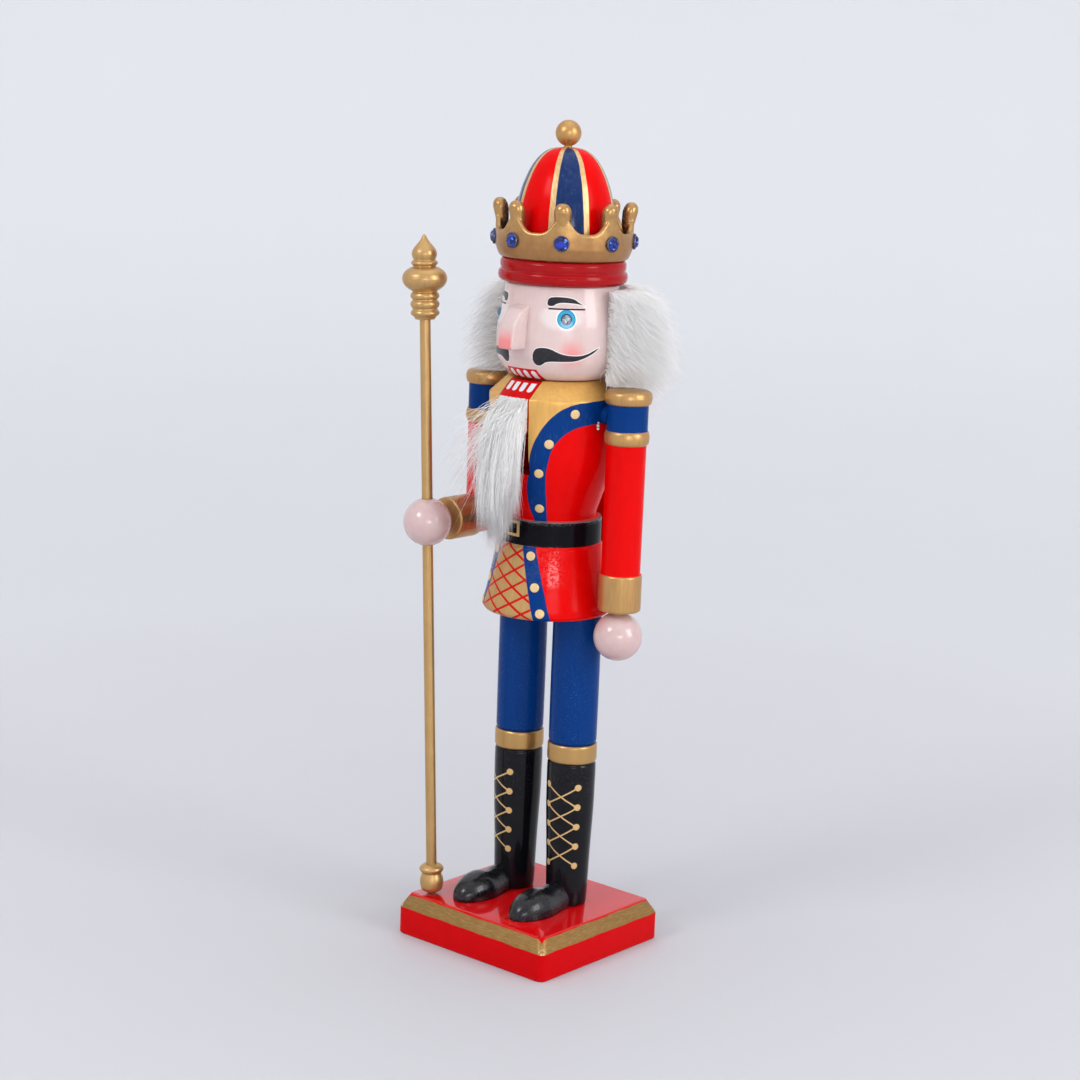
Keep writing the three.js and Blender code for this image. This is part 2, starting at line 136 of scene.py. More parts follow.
def bend_at(before, corner, after):
    """Degrees that a path turns by at a corner."""
    first, second = Vector(corner) - Vector(before), Vector(after) - Vector(corner)
    return math.degrees(first.angle(second)) if first.length and second.length else 0


def flowing(points, sharp=28, spacing=1.4):
    """A profile with smooth curves through its gentle bends. Sharp corners and flats stay."""
    count = len(points)
    corner = [True] + [bend_at(*points[i - 1:i + 2]) > sharp for i in range(1, count - 1)] + [True]
    out = [Vector(points[0])]
    for i in range(count - 1):
        start, end = Vector(points[i]), Vector(points[i + 1])
        span = (end - start).length
        lead = (end - start) if corner[i] else (end - Vector(points[i - 1])).normalized() * span
        trail = (end - start) if corner[i + 1] else (Vector(points[i + 2]) - start).normalized() * span
        pieces = 1 if corner[i] and corner[i + 1] else max(1, min(8, round(span / spacing)))
        for k in range(1, pieces + 1):
            t = k / pieces
            out.append(start * (2 * t ** 3 - 3 * t ** 2 + 1) + lead * (t ** 3 - 2 * t ** 2 + t)
                       + end * (3 * t ** 2 - 2 * t ** 3) + trail * (t ** 3 - t ** 2))
    return out


def turned_mesh(profile, sides, axis=(0, 0, 0), radius=0.4):
    """Points and faces of a lathe turning about +Z. The profile starts and ends on the axis."""
    outline = soften(flowing(profile), radius)
    x0, y0, z0 = axis
    inner = outline[1:-1]
    verts = [(x0, y0, z0 + outline[0][1])]
    for r, z in inner:
        for k in range(sides):
            turn = 2 * math.pi * k / sides
            verts.append((x0 + r * math.sin(turn), y0 - r * math.cos(turn), z0 + z))
    verts.append((x0, y0, z0 + outline[-1][1]))
    faces = [(0, 1 + (k + 1) % sides, 1 + k) for k in range(sides)]
    for ring in range(len(inner) - 1):
        a, b = 1 + ring * sides, 1 + (ring + 1) * sides
        faces += [(a + k, a + (k + 1) % sides, b + (k + 1) % sides, b + k) for k in range(sides)]
    a, top = 1 + (len(inner) - 1) * sides, len(verts) - 1
    faces += [(a + k, a + (k + 1) % sides, top) for k in range(sides)]
    return verts, faces


def turned(name, profile, sides=96, axis=(0, 0, 0), radius=0.4, smooth=50):
    verts, faces = turned_mesh(profile, sides, axis, radius)
    return new_object(name, verts, faces, smooth)


def carve(obj, cutter, operation="DIFFERENCE"):
    """Joins or cuts with another object, which is used up."""
    modifier = obj.modifiers.new("carve", "BOOLEAN")
    modifier.operation = operation
    modifier.object = cutter
    modifier.solver = "EXACT"
    apply_modifiers(obj)
    bpy.data.objects.remove(cutter)
    return obj


def block(name, lowest, highest):
    (x0, y0, z0), (x1, y1, z1) = lowest, highest
    verts = [(x, y, z) for z in (z0, z1) for y in (y0, y1) for x in (x0, x1)]
    faces = [(0, 2, 3, 1), (4, 5, 7, 6), (0, 1, 5, 4), (2, 6, 7, 3), (0, 4, 6, 2), (1, 3, 7, 5)]
    return new_object(name, verts, faces)


def rod(name, start, end, radius, sides=48):
    start, end = Vector(start), Vector(end)
    length = (end - start).length
    obj = turned(name, [(0, 0), (radius, 0), (radius, length), (0, length)], sides)
    return placed(obj, start, end - start)


def skinned(name, rings, closed=False, smooth=40):
    """A solid over rings of points, all with the same number of points."""
    count = len(rings[0])
    verts = [p for ring in rings for p in ring]
    total = len(rings)
    faces = []
    for r in range(total if closed else total - 1):
        a, b = r * count, (r + 1) % total * count
        faces += [(a + k, a + (k + 1) % count, b + (k + 1) % count, b + k) for k in range(count)]
    if not closed:
        faces.append(tuple(range(count))[::-1])
        faces.append(tuple(range((total - 1) * count, total * count)))
    return new_object(name, verts, faces, smooth)


def rounded(obj, width, angle=30, segments=3):
    """Rounds the edges that are sharper than the angle."""
    modifier = obj.modifiers.new("round", "BEVEL")
    modifier.width = width * MM
    modifier.segments = segments
    modifier.limit_method = "ANGLE"
    modifier.angle_limit = math.radians(angle)
    apply_modifiers(obj)
    return obj


def plate(name, outline, half_width):
    """A solid with a side view given as (y, z), from -half_width to half_width in x."""
    return skinned(name, [[(x, y, z) for y, z in outline] for x in (-half_width, half_width)])


def placed(obj, centre, outward):
    """Turns a piece that faces +Z to face outward, at a point in millimetres."""
    spin = UP.rotation_difference(Vector(outward)).to_matrix().to_4x4()
    obj.data.transform(Matrix.Translation(Vector(centre) * MM) @ spin)
    return obj


def sliced(obj, point, normal):
    """Keeps what lies on the side of a plane that its normal points to."""
    bm = bmesh.new()
    bm.from_mesh(obj.data)
    cut = bmesh.ops.bisect_plane(bm, geom=bm.verts[:] + bm.edges[:] + bm.faces[:],
                                 plane_co=Vector(point) * MM, plane_no=Vector(normal), clear_inner=True)
    edges = [item for item in cut["geom_cut"] if isinstance(item, bmesh.types.BMEdge)]
    bmesh.ops.edgeloop_fill(bm, edges=edges)
    bm.to_mesh(obj.data)
    bm.free()
    return obj


def join(name, parts):
    """One object from several, with their materials' slots dropped."""
    bm = bmesh.new()
    for part in parts:
        bm.from_mesh(part.data)
        bpy.data.objects.remove(part)
    mesh = bpy.data.meshes.new(name)
    bm.to_mesh(mesh)
    bm.free()
    obj = bpy.data.objects.new(name, mesh)
    bpy.context.scene.collection.objects.link(obj)
    return obj


def finish_piece(obj, nodes, material, smooth=None, body=FIGURE):
    """Gives a piece its material, body and slot, and hides the CAD nodes that it stands for."""
    if smooth:
        shade(obj, smooth)
    obj.data.materials.clear()
    obj.data.materials.append(material)
    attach(obj, body)
    if nodes:
        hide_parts(*nodes)
    return obj


# ---- Paint ----
class Field:
    """A number that varies over a surface. Arithmetic on it adds shader math nodes."""

    def __init__(self, paint, socket):
        self.paint = paint
        self.socket = socket

    def math(self, operation, *others, clamp=False):
        node = self.paint.node("ShaderNodeMath", operation=operation, use_clamp=clamp)
        for socket, value in zip(node.inputs, (self, *others)):
            self.paint.feed(socket, value)
        return Field(self.paint, node.outputs[0])

    def __add__(self, other):
        return self.math("ADD", other)

    __radd__ = __add__

    def __sub__(self, other):
        return self.math("SUBTRACT", other)

    def __mul__(self, other):
        return self.math("MULTIPLY", other)

    def __truediv__(self, other):
        return self.math("DIVIDE", other)

    def __neg__(self):
        return self.math("MULTIPLY", -1)

    def __abs__(self):
        return self.math("ABSOLUTE")

    def near(self, other):
        return self.math("MINIMUM", other)

    def far(self, other):
        return self.math("MAXIMUM", other)

    def hypot(self, other):
        return (self * self + other * other).math("SQRT")

    def above(self, level, edge=0.12):
        """1 where the field is above the level, 0 below it, with a soft edge that wide."""
        return ((self - level) / edge + 0.5).math("MULTIPLY", 1, clamp=True)

    def below(self, level, edge=0.12):
        return (-(self - level) / edge + 0.5).math("MULTIPLY", 1, clamp=True)

    def between(self, start, end, edge=0.12):
        return self.above(start, edge) * self.below(end, edge)

    def glow(self, radius):
        """1 at a distance of 0, fading smoothly to 0 at the radius."""
        share = (-(self / radius) + 1).math("MULTIPLY", 1, clamp=True)
        return share * share * (-(share * 2) + 3)

    def curve(self, points):
        """Looks the field up on a smooth curve through (field, value) points."""
        xs = [p[0] for p in points]
        ys = [p[1] for p in points]
        x0, x1, y0, y1 = min(xs), max(xs), min(ys), max(ys)
        span = (y1 - y0) or 1
        node = self.paint.node("ShaderNodeFloatCurve")
        node.mapping.extend = "HORIZONTAL"
        curve = node.mapping.curves[0]
        scaled = [((x - x0) / (x1 - x0), (y - y0) / span) for x, y in points]
        curve.points[0].location = scaled[0]
        curve.points[1].location = scaled[-1]
        for x, y in scaled[1:-1]:
            curve.points.new(x, y)
        node.mapping.update()
        self.paint.feed(node.inputs["Value"], (self - x0) / (x1 - x0))
        return Field(self.paint, node.outputs[0]) * span + y0


class Paint:
    """A layered paint finish. Each coat covers what is under it where its mask is 1."""

    def __init__(self, name, colour, roughness, metallic=0.0, coat=0.0, coat_roughness=0.1, specular=0.5):
        self.material = bpy.data.materials.new(name)
        self.material.use_nodes = True
        self.tree = self.material.node_tree
        self.shader = self.tree.nodes["Principled BSDF"]
        self.shader.inputs["Coat Weight"].default_value = coat
        self.shader.inputs["Coat Roughness"].default_value = coat_roughness
        self.shader.inputs["Specular IOR Level"].default_value = specular
        # Each is a plain value until something varies it over the surface.
        self.colour = colour
        self.roughness = roughness
        self.metallic = metallic
        self.normal = None
        self.place = None

    def node(self, kind, **settings):
        node = self.tree.nodes.new(kind)
        for key, value in settings.items():
            setattr(node, key, value)
        return node

    def feed(self, socket, value):
        if isinstance(value, Field):
            value = value.socket
        if isinstance(value, bpy.types.NodeSocket):
            self.tree.links.new(value, socket)
        elif isinstance(value, tuple):
            socket.default_value = (*value, 1)
        else:
            socket.default_value = value

    def points(self):
        """The point on the surface, in metres."""
        if self.place is None:
            self.place = self.node("ShaderNodeTexCoord").outputs["Object"]
        return self.place

    def xyz(self, centre=(0, 0, 0)):
        """The surface point in millimetres, counted from the centre."""
        split = self.node("ShaderNodeSeparateXYZ")
        self.feed(split.inputs[0], self.points())
        return [Field(self, out) * (1 / MM) - c for out, c in zip(split.outputs, centre)]

    def texture(self, kind, size, stretch, seed):
        """A texture node with features of that many millimetres, divided by the stretch."""
        mapping = self.node("ShaderNodeMapping")
        mapping.inputs["Location"].default_value = (seed * 1.7, seed * 0.9, seed * 2.3)
        mapping.inputs["Scale"].default_value = [s / (size * MM) for s in stretch]
        self.feed(mapping.inputs["Vector"], self.points())
        node = self.node(kind)
        node.inputs["Scale"].default_value = 1
        self.feed(node.inputs["Vector"], mapping.outputs[0])
        return node

    def noise(self, size, detail=2, stretch=EVEN, seed=0):
        """Noise from about -0.5 to 0.5."""
        node = self.texture("ShaderNodeTexNoise", size, stretch, seed)
        node.inputs["Detail"].default_value = detail
        return Field(self, node.outputs["Fac"]) - 0.5

    def cells(self, size, seed=0):
        """Straight-edged cells, each with its own value from 0 to 1."""
        node = self.texture("ShaderNodeTexVoronoi", size, EVEN, seed)
        split = self.node("ShaderNodeSeparateXYZ")
        self.feed(split.inputs[0], node.outputs["Color"])
        return Field(self, split.outputs[0])

    def layered(self, under, over, mask):
        """A number that turns from one value to another where the mask is 1."""
        if over is None or over == under:
            return under
        return under + mask * (-(under - over) if isinstance(under, Field) else over - under)

    def coat(self, mask, colour, roughness=None, metallic=None):
        node = self.node("ShaderNodeMix", data_type="RGBA")
        for socket, value in zip((node.inputs["Factor"], node.inputs[6], node.inputs[7]),
                                 (mask, self.colour, colour)):
            self.feed(socket, value)
        self.colour = node.outputs[2]
        self.roughness = self.layered(self.roughness, roughness, mask)
        self.metallic = self.layered(self.metallic, metallic, mask)

    def shade(self, amount):
        """Lightens or darkens the colour by a field around 0."""
        node = self.node("ShaderNodeHueSaturation")
        self.feed(node.inputs["Value"], amount + 1)
        self.feed(node.inputs["Color"], self.colour)
        self.colour = node.outputs[0]

    def bump(self, height, depth):
        """Relief from a field, depth millimetres high for a change of 1."""
        node = self.node("ShaderNodeBump")
        node.inputs["Strength"].default_value = 1
        node.inputs["Distance"].default_value = depth * MM
        self.feed(node.inputs["Height"], height)
        if self.normal:
            self.feed(node.inputs["Normal"], self.normal)
        self.normal = node.outputs[0]

    def gloss(self, weight):
        """Lays clear varnish over the finish, as thick as the weight says."""
        self.feed(self.shader.inputs["Coat Weight"], weight)

    def done(self):
        results = {"Base Color": self.colour, "Roughness": self.roughness, "Metallic": self.metallic}
        if self.normal:
            results["Normal"] = self.normal
        for socket, value in results.items():
            self.feed(self.shader.inputs[socket], value)
        return self.material


RED = (0.69, 0.0015, 0.0015)
DEEP_RED = (0.34, 0.0015, 0.003)
BLUE = (0.0015, 0.034, 0.175)
GOLD = (0.50, 0.30, 0.11)
PALE_GOLD = (0.66, 0.44, 0.19)
BLACK = (0.004, 0.004, 0.006)
SKIN = (0.64, 0.49, 0.465)
HAND_SKIN = (0.58, 0.40, 0.385)
WHITE = (0.86, 0.86, 0.84)
GOLD_METAL = 0.75
GOLD_ROUGH = 0.36


def lacquer_finish(paint, grain=(1, 1, 0.1), depth=0.05):
    """Brushed lacquer over wood: faint grain, an uneven film and small specks."""
    streaks = paint.noise(1.1, 3, grain, seed=1)
    film = paint.noise(5, 2, seed=2)
    specks = paint.noise(0.35, 1, seed=3)
    paint.shade(streaks * 0.10 + film * 0.14)
    paint.bump(streaks * 0.5 + film * 1.4 + specks * 0.16, depth)
    paint.roughness = paint.roughness + film * 0.12 + specks * 0.10


def gold_paint(name, colour=GOLD, grain=(1, 1, 0.15)):
    paint = Paint(name, colour, GOLD_ROUGH, GOLD_METAL)
    flakes = paint.noise(0.3, 2, seed=5)
    streaks = paint.noise(1.2, 3, grain, seed=6)
    worn = paint.noise(7, 3, seed=7)
    paint.shade(flakes * 0.20 + streaks * 0.28 + worn * 0.22)
    paint.bump(streaks * 0.8 + flakes * 0.2 + worn, 0.06)
    paint.roughness = paint.roughness + flakes * 0.15 + worn * 0.12
    return paint.done()


def plain_finish(name, colour, roughness, grain, shade=0, relief=0, rough=0, **look):
    """One colour, varied by a noise given as (size, detail, stretch, seed)."""
    paint = Paint(name, colour, roughness, **look)
    field = paint.noise(*grain)
    if shade:
        paint.shade(field * shade)
    if relief:
        paint.bump(field, relief)
    if rough:
        paint.roughness = paint.roughness + field * rough
    return paint.done()


def ball_profile(radius, steps, first, last):
    """Points up the side of a ball, as (radius, height above its centre)."""
    turns = [math.pi * i / steps for i in range(first, last)]
    return [(radius * math.sin(turn), -radius * math.cos(turn)) for turn in turns]


# ---- Outlines of the turned pieces, as (radius, height above the underside) ----
TORSO_OUTLINE = [
    (0, 158), (28.6, 158), (29.7, 159.4), (29.6, 161.5), (28, 168.5), (26.2, 178), (24.9, 186),
    (24.5, 189.6), (23.5, 190.8), (23.5, 202.3), (20.6, 202.6), (20.9, 204.4), (22.2, 208.4), (23.6, 213),
    (25.6, 218.6), (27.4, 224.5), (28.6, 230), (29.2, 236), (29.5, 243), (29.6, 250), (30, 256.6),
    (29.9, 258), (22.2, 265.3), (21.6, 265.7), (0, 265.7),
]
HEAD_OUTLINE = [
    (0, 266), (21.4, 266), (22.7, 266.7), (25, 268.6), (26.4, 270.4), (28.3, 274.5), (29, 279),
    (28.95, 286), (28.3, 293), (26.8, 300.6), (25.9, 305), (25.4, 308), (0, 308),
]
HAT_OUTLINE = [
    (0, 308.3), (27.4, 308.3), (28.9, 309.4), (29.3, 311.4), (28.9, 313), (27.9, 313.8), (28.35, 315),
    (28.4, 317.2), (27.6, 318.7), (26.8, 318.9), (23.8, 318.9), (23.6, 325), (23, 333), (21.8, 342),
    (19.5, 351), (16, 359), (12.4, 363.9), (8, 367), (2.5, 368), (0, 368),
]
LEG_OUTLINE = [
    (0, 19.7), (9.2, 19.7), (9.5, 22), (10.2, 45), (11.05, 66), (11.2, 76), (11.2, 87.2), (10.7, 88.4),
    (11.45, 89.3), (11.5, 93), (11.45, 96.6), (10.7, 97.5), (11.1, 98.8), (11.15, 156.5), (10.8, 157.7),
    (0, 157.7),
]
SLEEVE_TOP = [
    (9, 239.7), (9.8, 240.4), (10.2, 243), (9.8, 245.5), (9.2, 246.2), (9.2, 257.6), (10.2, 258.3),
    (10.7, 260.9), (10.2, 263.2), (8.8, 264), (0, 264),
]
LEFT_ARM_OUTLINE = [
    (0, 164.2), (9.2, 164.2), (9.7, 164.9), (9.7, 180.4), (9.3, 181.1), (8.8, 181.4), *SLEEVE_TOP,
]
BELT = (190.9, 202.4)
COLLAR_RIDGE = 258.2


def radius_at(outline, z):
    """Outside radius of a turned piece at a height."""
    sides = outline[1:-1]
    return float(np.interp(z, [p[1] for p in sides], [p[0] for p in sides]))


def around(axis, azimuth, radius, z):
    """The point at an azimuth counted from the front, -Y, towards the left arm, +X."""
    turn = math.radians(azimuth)
    return Vector((axis.x + radius * math.sin(turn), axis.y - radius * math.cos(turn), z))


def azimuth_of(x, y):
    return x.math("ARCTAN2", -y) * (180 / math.pi)


# ---- Base ----
BASE_CORNER = 3.2
CHAMFER = {"inset": 3.7, "drop": 6.3}


def base_block():
    """A block with round corners and a sloping gold band round its top."""
    half = (high("base_block") - low("base_block")) / 2
    # Each level's inset from the sides, and its height.
    levels = [(0.5, 0), (0, 0.7), (0, BASE_TOP - CHAMFER["drop"] - 0.4),
              (0.25, BASE_TOP - CHAMFER["drop"] + 0.3),
              (CHAMFER["inset"] - 0.3, BASE_TOP - 0.35), (CHAMFER["inset"] + 0.4, BASE_TOP)]
    rings = []
    for inset, z in levels:
        ring = []
        for corner, (sx, sy) in enumerate([(1, 1), (-1, 1), (-1, -1), (1, -1)]):
            for i in range(7):
                turn = (corner + i / 6) * math.pi / 2
                ring.append((sx * (half.x - inset - BASE_CORNER) + BASE_CORNER * math.cos(turn),
                             sy * (half.y - inset - BASE_CORNER) + BASE_CORNER * math.sin(turn), z))
        rings.append(ring)
    obj = skinned("base_turned_edge", rings, smooth=24)
    paint = Paint("base_paint", (0.56, 0.002, 0.004), 0.16, specular=0.05)
    x, y, z = paint.xyz()
    wobble = paint.noise(9, 2, seed=11)
    rim = (abs(x) - half.x).far(abs(y) - half.y) + CHAMFER["inset"]
    lacquer_finish(paint, (0.15, 1, 1), 0.025)
    paint.gloss(z.above(BASE_TOP - 0.2) * 0.75)
    paint.shader.inputs["Coat Roughness"].default_value = 0.03
    band = z.above(BASE_TOP - CHAMFER["drop"] - 0.1 + wobble, 0.25) * rim.above(0.45 + wobble * 0.6, 0.25)
    grain = paint.noise(0.5, 3, (0.14, 0.14, 1.6), seed=12)
    worn = paint.noise(1.2, 3, seed=13)
    paint.coat(band, (0.32, 0.185, 0.062), 0.42, 0.6)
    paint.coat(band * grain.above(0.04, 0.3) * 0.45, (0.16, 0.08, 0.025), 0.5, 0.4)
    paint.coat(band * grain.below(-0.12, 0.2) * 0.35, (0.50, 0.32, 0.13), 0.38, 0.6)
    corner = (abs(x) - half.x).near(abs(y) - half.y).above(-2.2, 2)
    paint.coat(band * corner * worn.above(0.0, 0.12), (0.90, 0.70, 0.40), 0.3, 0.5)
    paint.bump(grain * band, 0.08)
    finish_piece(obj, ["base_block"], paint.done())


# ---- Legs and shoes ----
BOOT_TOP = 89
KNEE_BAND = (88.9, 97.1)
LACES = {"low": 39.8, "pitch": 9.5, "rows": 5, "dot": 1.55, "line": 0.28}


def leg(side, sign, facing, half_angle):
    """One turned leg: boot, gold band and trouser. The laces face outward by that many degrees."""
    axis = Vector((sign * LEG_AXIS.x, LEG_AXIS.y, 0))
    obj = turned(f"leg_{side}_turned", LEG_OUTLINE, 72, axis)
    paint = Paint(f"leg_{side}_paint", BLUE, 0.2, coat=0.04, coat_roughness=0.1, specular=0.07)
    x, y, z = paint.xyz(axis)
    azimuth = azimuth_of(x, y)
    wobble = paint.noise(4, 2, seed=20 + sign)
    # Painted glints: lighter blue specks scattered over the leg stand in for small glints of light.
    painted_glints = paint.noise(0.45, 1, seed=23).above(0.2, 0.1) * paint.noise(6, 2, seed=24).above(-0.1, 0.6)
    paint.coat(painted_glints * 0.6, (0.07, 0.22, 0.50), 0.35)
    lacquer_finish(paint, depth=0.06)
    boot = z.below(BOOT_TOP + wobble * 0.4)
    paint.coat(boot, BLACK, 0.2)
    paint.gloss(boot * 0.24 + 0.04)
    # Painted shade: a dark line just above the gold band, where the step above it falls in shadow.
    paint.coat(z.between(KNEE_BAND[1] - 0.1, KNEE_BAND[1] + 1, 0.4) * 0.8, (0.004, 0.008, 0.03))
    # Grey specks near the top of each boot: partly dust, partly a painted sheen standing in for specks of
    # highlight.
    dust_and_sheen = paint.noise(0.5, 2, seed=25).above(0.16, 0.1) * z.between(68, BOOT_TOP - 1, 8)
    paint.coat(dust_and_sheen * 0.35, (0.10, 0.10, 0.12), 0.4)
    paint.coat(z.between(*(edge + wobble * 0.3 for edge in KNEE_BAND), 0.3), GOLD, 0.3, GOLD_METAL)
    along = (azimuth - facing) / half_angle + wobble * 0.03
    row = (z - LACES["low"] + wobble * 0.4) / LACES["pitch"]
    top = LACES["rows"] - 1
    inside = row.between(-0.02, top + 0.02, 0.03) * abs(along).below(1, 0.03)
    # The two lace directions repeat every row, each rising one row from one column to the other.
    reach = LACES["pitch"] * 0.72
    rising, falling = (abs(lace - lace.math("ROUND")) * reach
                       for lace in (row - (along + 1) * 0.5, row + (along + 1) * 0.5))
    lace_mask = rising.near(falling).below(LACES["line"], 0.16)
    arc = math.radians(half_angle) * 10.6
    nearest = row.math("ROUND").far(0).near(top)
    dots = ((abs(along) - 1) * arc).hypot((row - nearest) * LACES["pitch"]).below(LACES["dot"], 0.2)
    laces = (lace_mask * inside).far(dots)
    paint.coat(laces, PALE_GOLD, 0.4, 0.35)
    paint.bump(laces, 0.09)
    finish_piece(obj, [f"leg_{side}"], paint.done())


SHOE_HEIGHT = 11.4


def eased(value, start, end):
    """0 up to the start, 1 from the end on, with a smooth rise between."""
    t = min(1, max(0, (value - start) / (end - start)))
    return t * t * (3 - 2 * t)


def shoe(side, sign):
    """A carved toe cap: a round bulging toe and a shallow crease before the boot."""
    lowest, highest = low(f"shoe_{side}"), high(f"shoe_{side}")
    half_width = (highest.x - lowest.x) / 2
    toe, heel = lowest.y, highest.y + 1.5
    stations, sides = 34, 44
    sole = BASE_TOP + 0.3
    rings = []
    for i in range(stations + 1):
        s = 1 - math.cos(math.pi / 2 * i / stations)
        front = (1 - (1 - min(s / 0.52, 1)) ** 2.1) ** (1 / 2.1)
        width = half_width * front * (1 - 0.32 * eased(s, 0.45, 1.0))
        height = SHOE_HEIGHT * (front - 0.10 * eased(s, 0.46, 0.68) + 0.06 * eased(s, 0.70, 0.86))
        ring = []
        for k in range(sides):
            turn = 2 * math.pi * k / sides
            across, up = math.cos(turn), math.sin(turn)
            wide = abs(across) ** 0.9 * (1 if across > 0 else -1)
            bulge = 1 - 0.06 * (1 - min(1, abs(up) * 3))
            z = sole + (max(height, 0.2) * up ** 0.88 if up > 0 else 0)
            ring.append((lowest.x + half_width + max(width, 0.15) * wide * bulge, toe + (heel - toe) * s, z))
        rings.append(ring)
    obj = skinned(f"shoe_{side}_carved", rings, smooth=60)
    ankle = Vector((sign * LEG_AXIS.x, LEG_AXIS.y, 0))
    carve(obj, rod("boot_cutter", ankle + UP * 10, ankle + UP * 40, 9.7))
    paint = Paint(f"shoe_{side}_paint", BLACK, 0.26, coat=0.34, coat_roughness=0.12, specular=0.3)
    wrinkle = paint.noise(3.0, 3, (0.5, 1.4, 0.5), seed=30 + sign)
    brushed = paint.noise(0.5, 2, (1, 1, 0.25), seed=32)
    paint.shade(wrinkle * 0.4)
    paint.bump(wrinkle + brushed * 0.5, 0.16)
    paint.roughness = paint.roughness + wrinkle * 0.2 + brushed * 0.2
    finish_piece(obj, [f"shoe_{side}"], paint.done(), smooth=60)


# ---- Torso ----
SLOT = {"half_width": 9.0, "floor": 224.0}
# Edges of the blue facing down each side of the jacket, as (height, azimuth).
FACING_INNER = [(202.4, 20.5), (206.1, 16), (211.5, 13.5), (218.3, 14), (223.9, 16.9), (229.9, 18.6),
                (236.5, 21.3), (241.8, 25.6), (247.2, 32), (252, 40.4), (255.6, 51), (257.6, 68),
                (258.3, 92)]
FACING_OUTER = [(202.4, 36.3), (209.9, 35.1), (219.1, 34.3), (225.2, 34.5), (230.6, 36.4), (236.5, 39.4),
                (241.2, 45.7), (244.1, 52.1), (246.3, 61), (247.6, 75), (248.2, 110)]
PANEL_FOOT = 229.5                    # height at which the gold front panel ends
JACKET_BUTTONS = [(58.1, 252.5), (36.5, 238.8), (27.6, 225.1), (26.8, 208.3)]
SKIRT_TURN = -6                       # the skirt's pattern and the buckle are painted that far round
SKIRT_BUTTONS = [(26.8, 186.8), (33.5, 172.9), (40, 161.6)]
BUTTON_RADIUS = 2.15
BUCKLE = {"z": 198.1, "half": (4.2, 3.6), "hole": (2.7, 2.3), "degree": 0.41}   # millimetres to a degree
FLARE = 0.555                         # degrees that the skirt's edges widen by for each millimetre down
LATTICE = {"turn": 10, "z": 179.6, "across": 26.2, "down": 7.6, "line": 0.52, "pitch": 6.4}


def jacket_front(paint, z, azimuth, wobble, grain):
    """The gold front panel and collar, and the blue facing down each side."""
    height = z + wobble * 0.7
    turn = abs(azimuth) + wobble * 1.2
    chest = z.above(BELT[1])
    past_inner = turn - height.curve(FACING_INNER)
    past_outer = turn - height.curve(FACING_OUTER)
    short_of_outer = past_outer.below(0, 0.5).far(height.above(FACING_OUTER[-1][0], 0.2))
    gold = chest * height.above(PANEL_FOOT, 0.4) * past_inner.below(0, 0.5)
    gold = gold.far(z.above(COLLAR_RIDGE))
    paint.coat(gold, (0.78, 0.45, 0.13), 0.34, 0.5)
    paint.coat(gold * (grain + 0.3), (0.52, 0.28, 0.08), 0.42, 0.45)
    blue = chest * past_inner.above(0, 0.5) * short_of_outer * z.below(COLLAR_RIDGE)
    paint.coat(blue, BLUE, 0.22, 0)
    brush = paint.noise(1.4, 3, (1, 1, 0.3), seed=42)
    paint.coat(blue * brush.above(0.16, 0.2) * 0.45, (0.03, 0.09, 0.28), 0.3)


def belt(paint, z, azimuth, wobble):
    """A black belt with a painted highlight along its upper edge, and a buckle painted as an open gold frame.
    """
    paint.coat(z.between(*BELT), BLACK, 0.18, 0)
    # Painted highlight: a grey line along the belt's upper edge.
    paint.coat(z.between(BELT[1] - 0.5 + wobble, BELT[1] + 0.1, 0.2) * 0.25, (0.5, 0.5, 0.5), 0.3)
    across, up = abs(azimuth - SKIRT_TURN) * BUCKLE["degree"], abs(z - BUCKLE["z"])
    (half_width, half_height), (hole_width, hole_height) = BUCKLE["half"], BUCKLE["hole"]
    frame_mask = across.above(hole_width).far(up.above(hole_height))
    paint.coat(across.below(half_width) * up.below(half_height) * frame_mask, PALE_GOLD, 0.35, 0.5)


def skirt(paint, z, azimuth, spread, wobble, grain):
    """A gold front with a red lattice, between two blue strips that flare with it."""
    below_belt = z.below(BELT[0])
    lattice_edge = -(z - 188) * FLARE + 17.8
    strip_edge = -(z - 190.8) * FLARE + 31.8
    lattice = below_belt * (spread - lattice_edge).below(0, 0.5)
    paint.coat(lattice, (0.56, 0.34, 0.13), 0.38, 0.45)
    paint.coat(lattice * (grain + 0.3), (0.36, 0.2, 0.08), 0.42, 0.4)
    column = (azimuth - SKIRT_TURN - LATTICE["turn"]) / LATTICE["across"] + wobble * 0.03
    tier = (z - LATTICE["z"]) / LATTICE["down"] + wobble * 0.03
    for diagonal in (column + tier, column - tier):
        offset = abs(diagonal - diagonal.math("ROUND")) * LATTICE["pitch"]
        paint.coat(lattice * offset.below(LATTICE["line"], 0.2), (0.52, 0.006, 0.006), 0.3, 0)
    strip = below_belt * (spread - lattice_edge).above(0, 0.5) * (spread - strip_edge).below(0, 0.5)
    paint.coat(strip, BLUE, 0.22, 0)


def jacket_paint():
    paint = Paint("jacket_paint", RED, 0.2, coat_roughness=0.12, specular=0.05)
    x, y, z = paint.xyz(TORSO_AXIS)
    azimuth = azimuth_of(x, y)
    wobble = paint.noise(5, 2, seed=40)
    grain = paint.noise(1.5, 3, (1, 1, 0.12), seed=41)
    spread = abs(azimuth - SKIRT_TURN) + wobble * 1.2
    lacquer_finish(paint, depth=0.05)
    jacket_front(paint, z, azimuth, wobble, grain)
    belt(paint, z, azimuth, wobble)
    skirt(paint, z, azimuth, spread, wobble, grain)
    # The varnish pools in speckles below the belt and along its upper edge.
    speckle = paint.noise(1.0, 3, seed=48).above(0.0, 0.12)
    pooled = spread.between(22, 62, 12) * z.between(174, BELT[0], 3)
    pooled = pooled.far(z.between(BELT[1] - 1.6, BELT[1], 0.8))
    paint.gloss(pooled * speckle * 0.8 + 0.03)
    return paint.done()


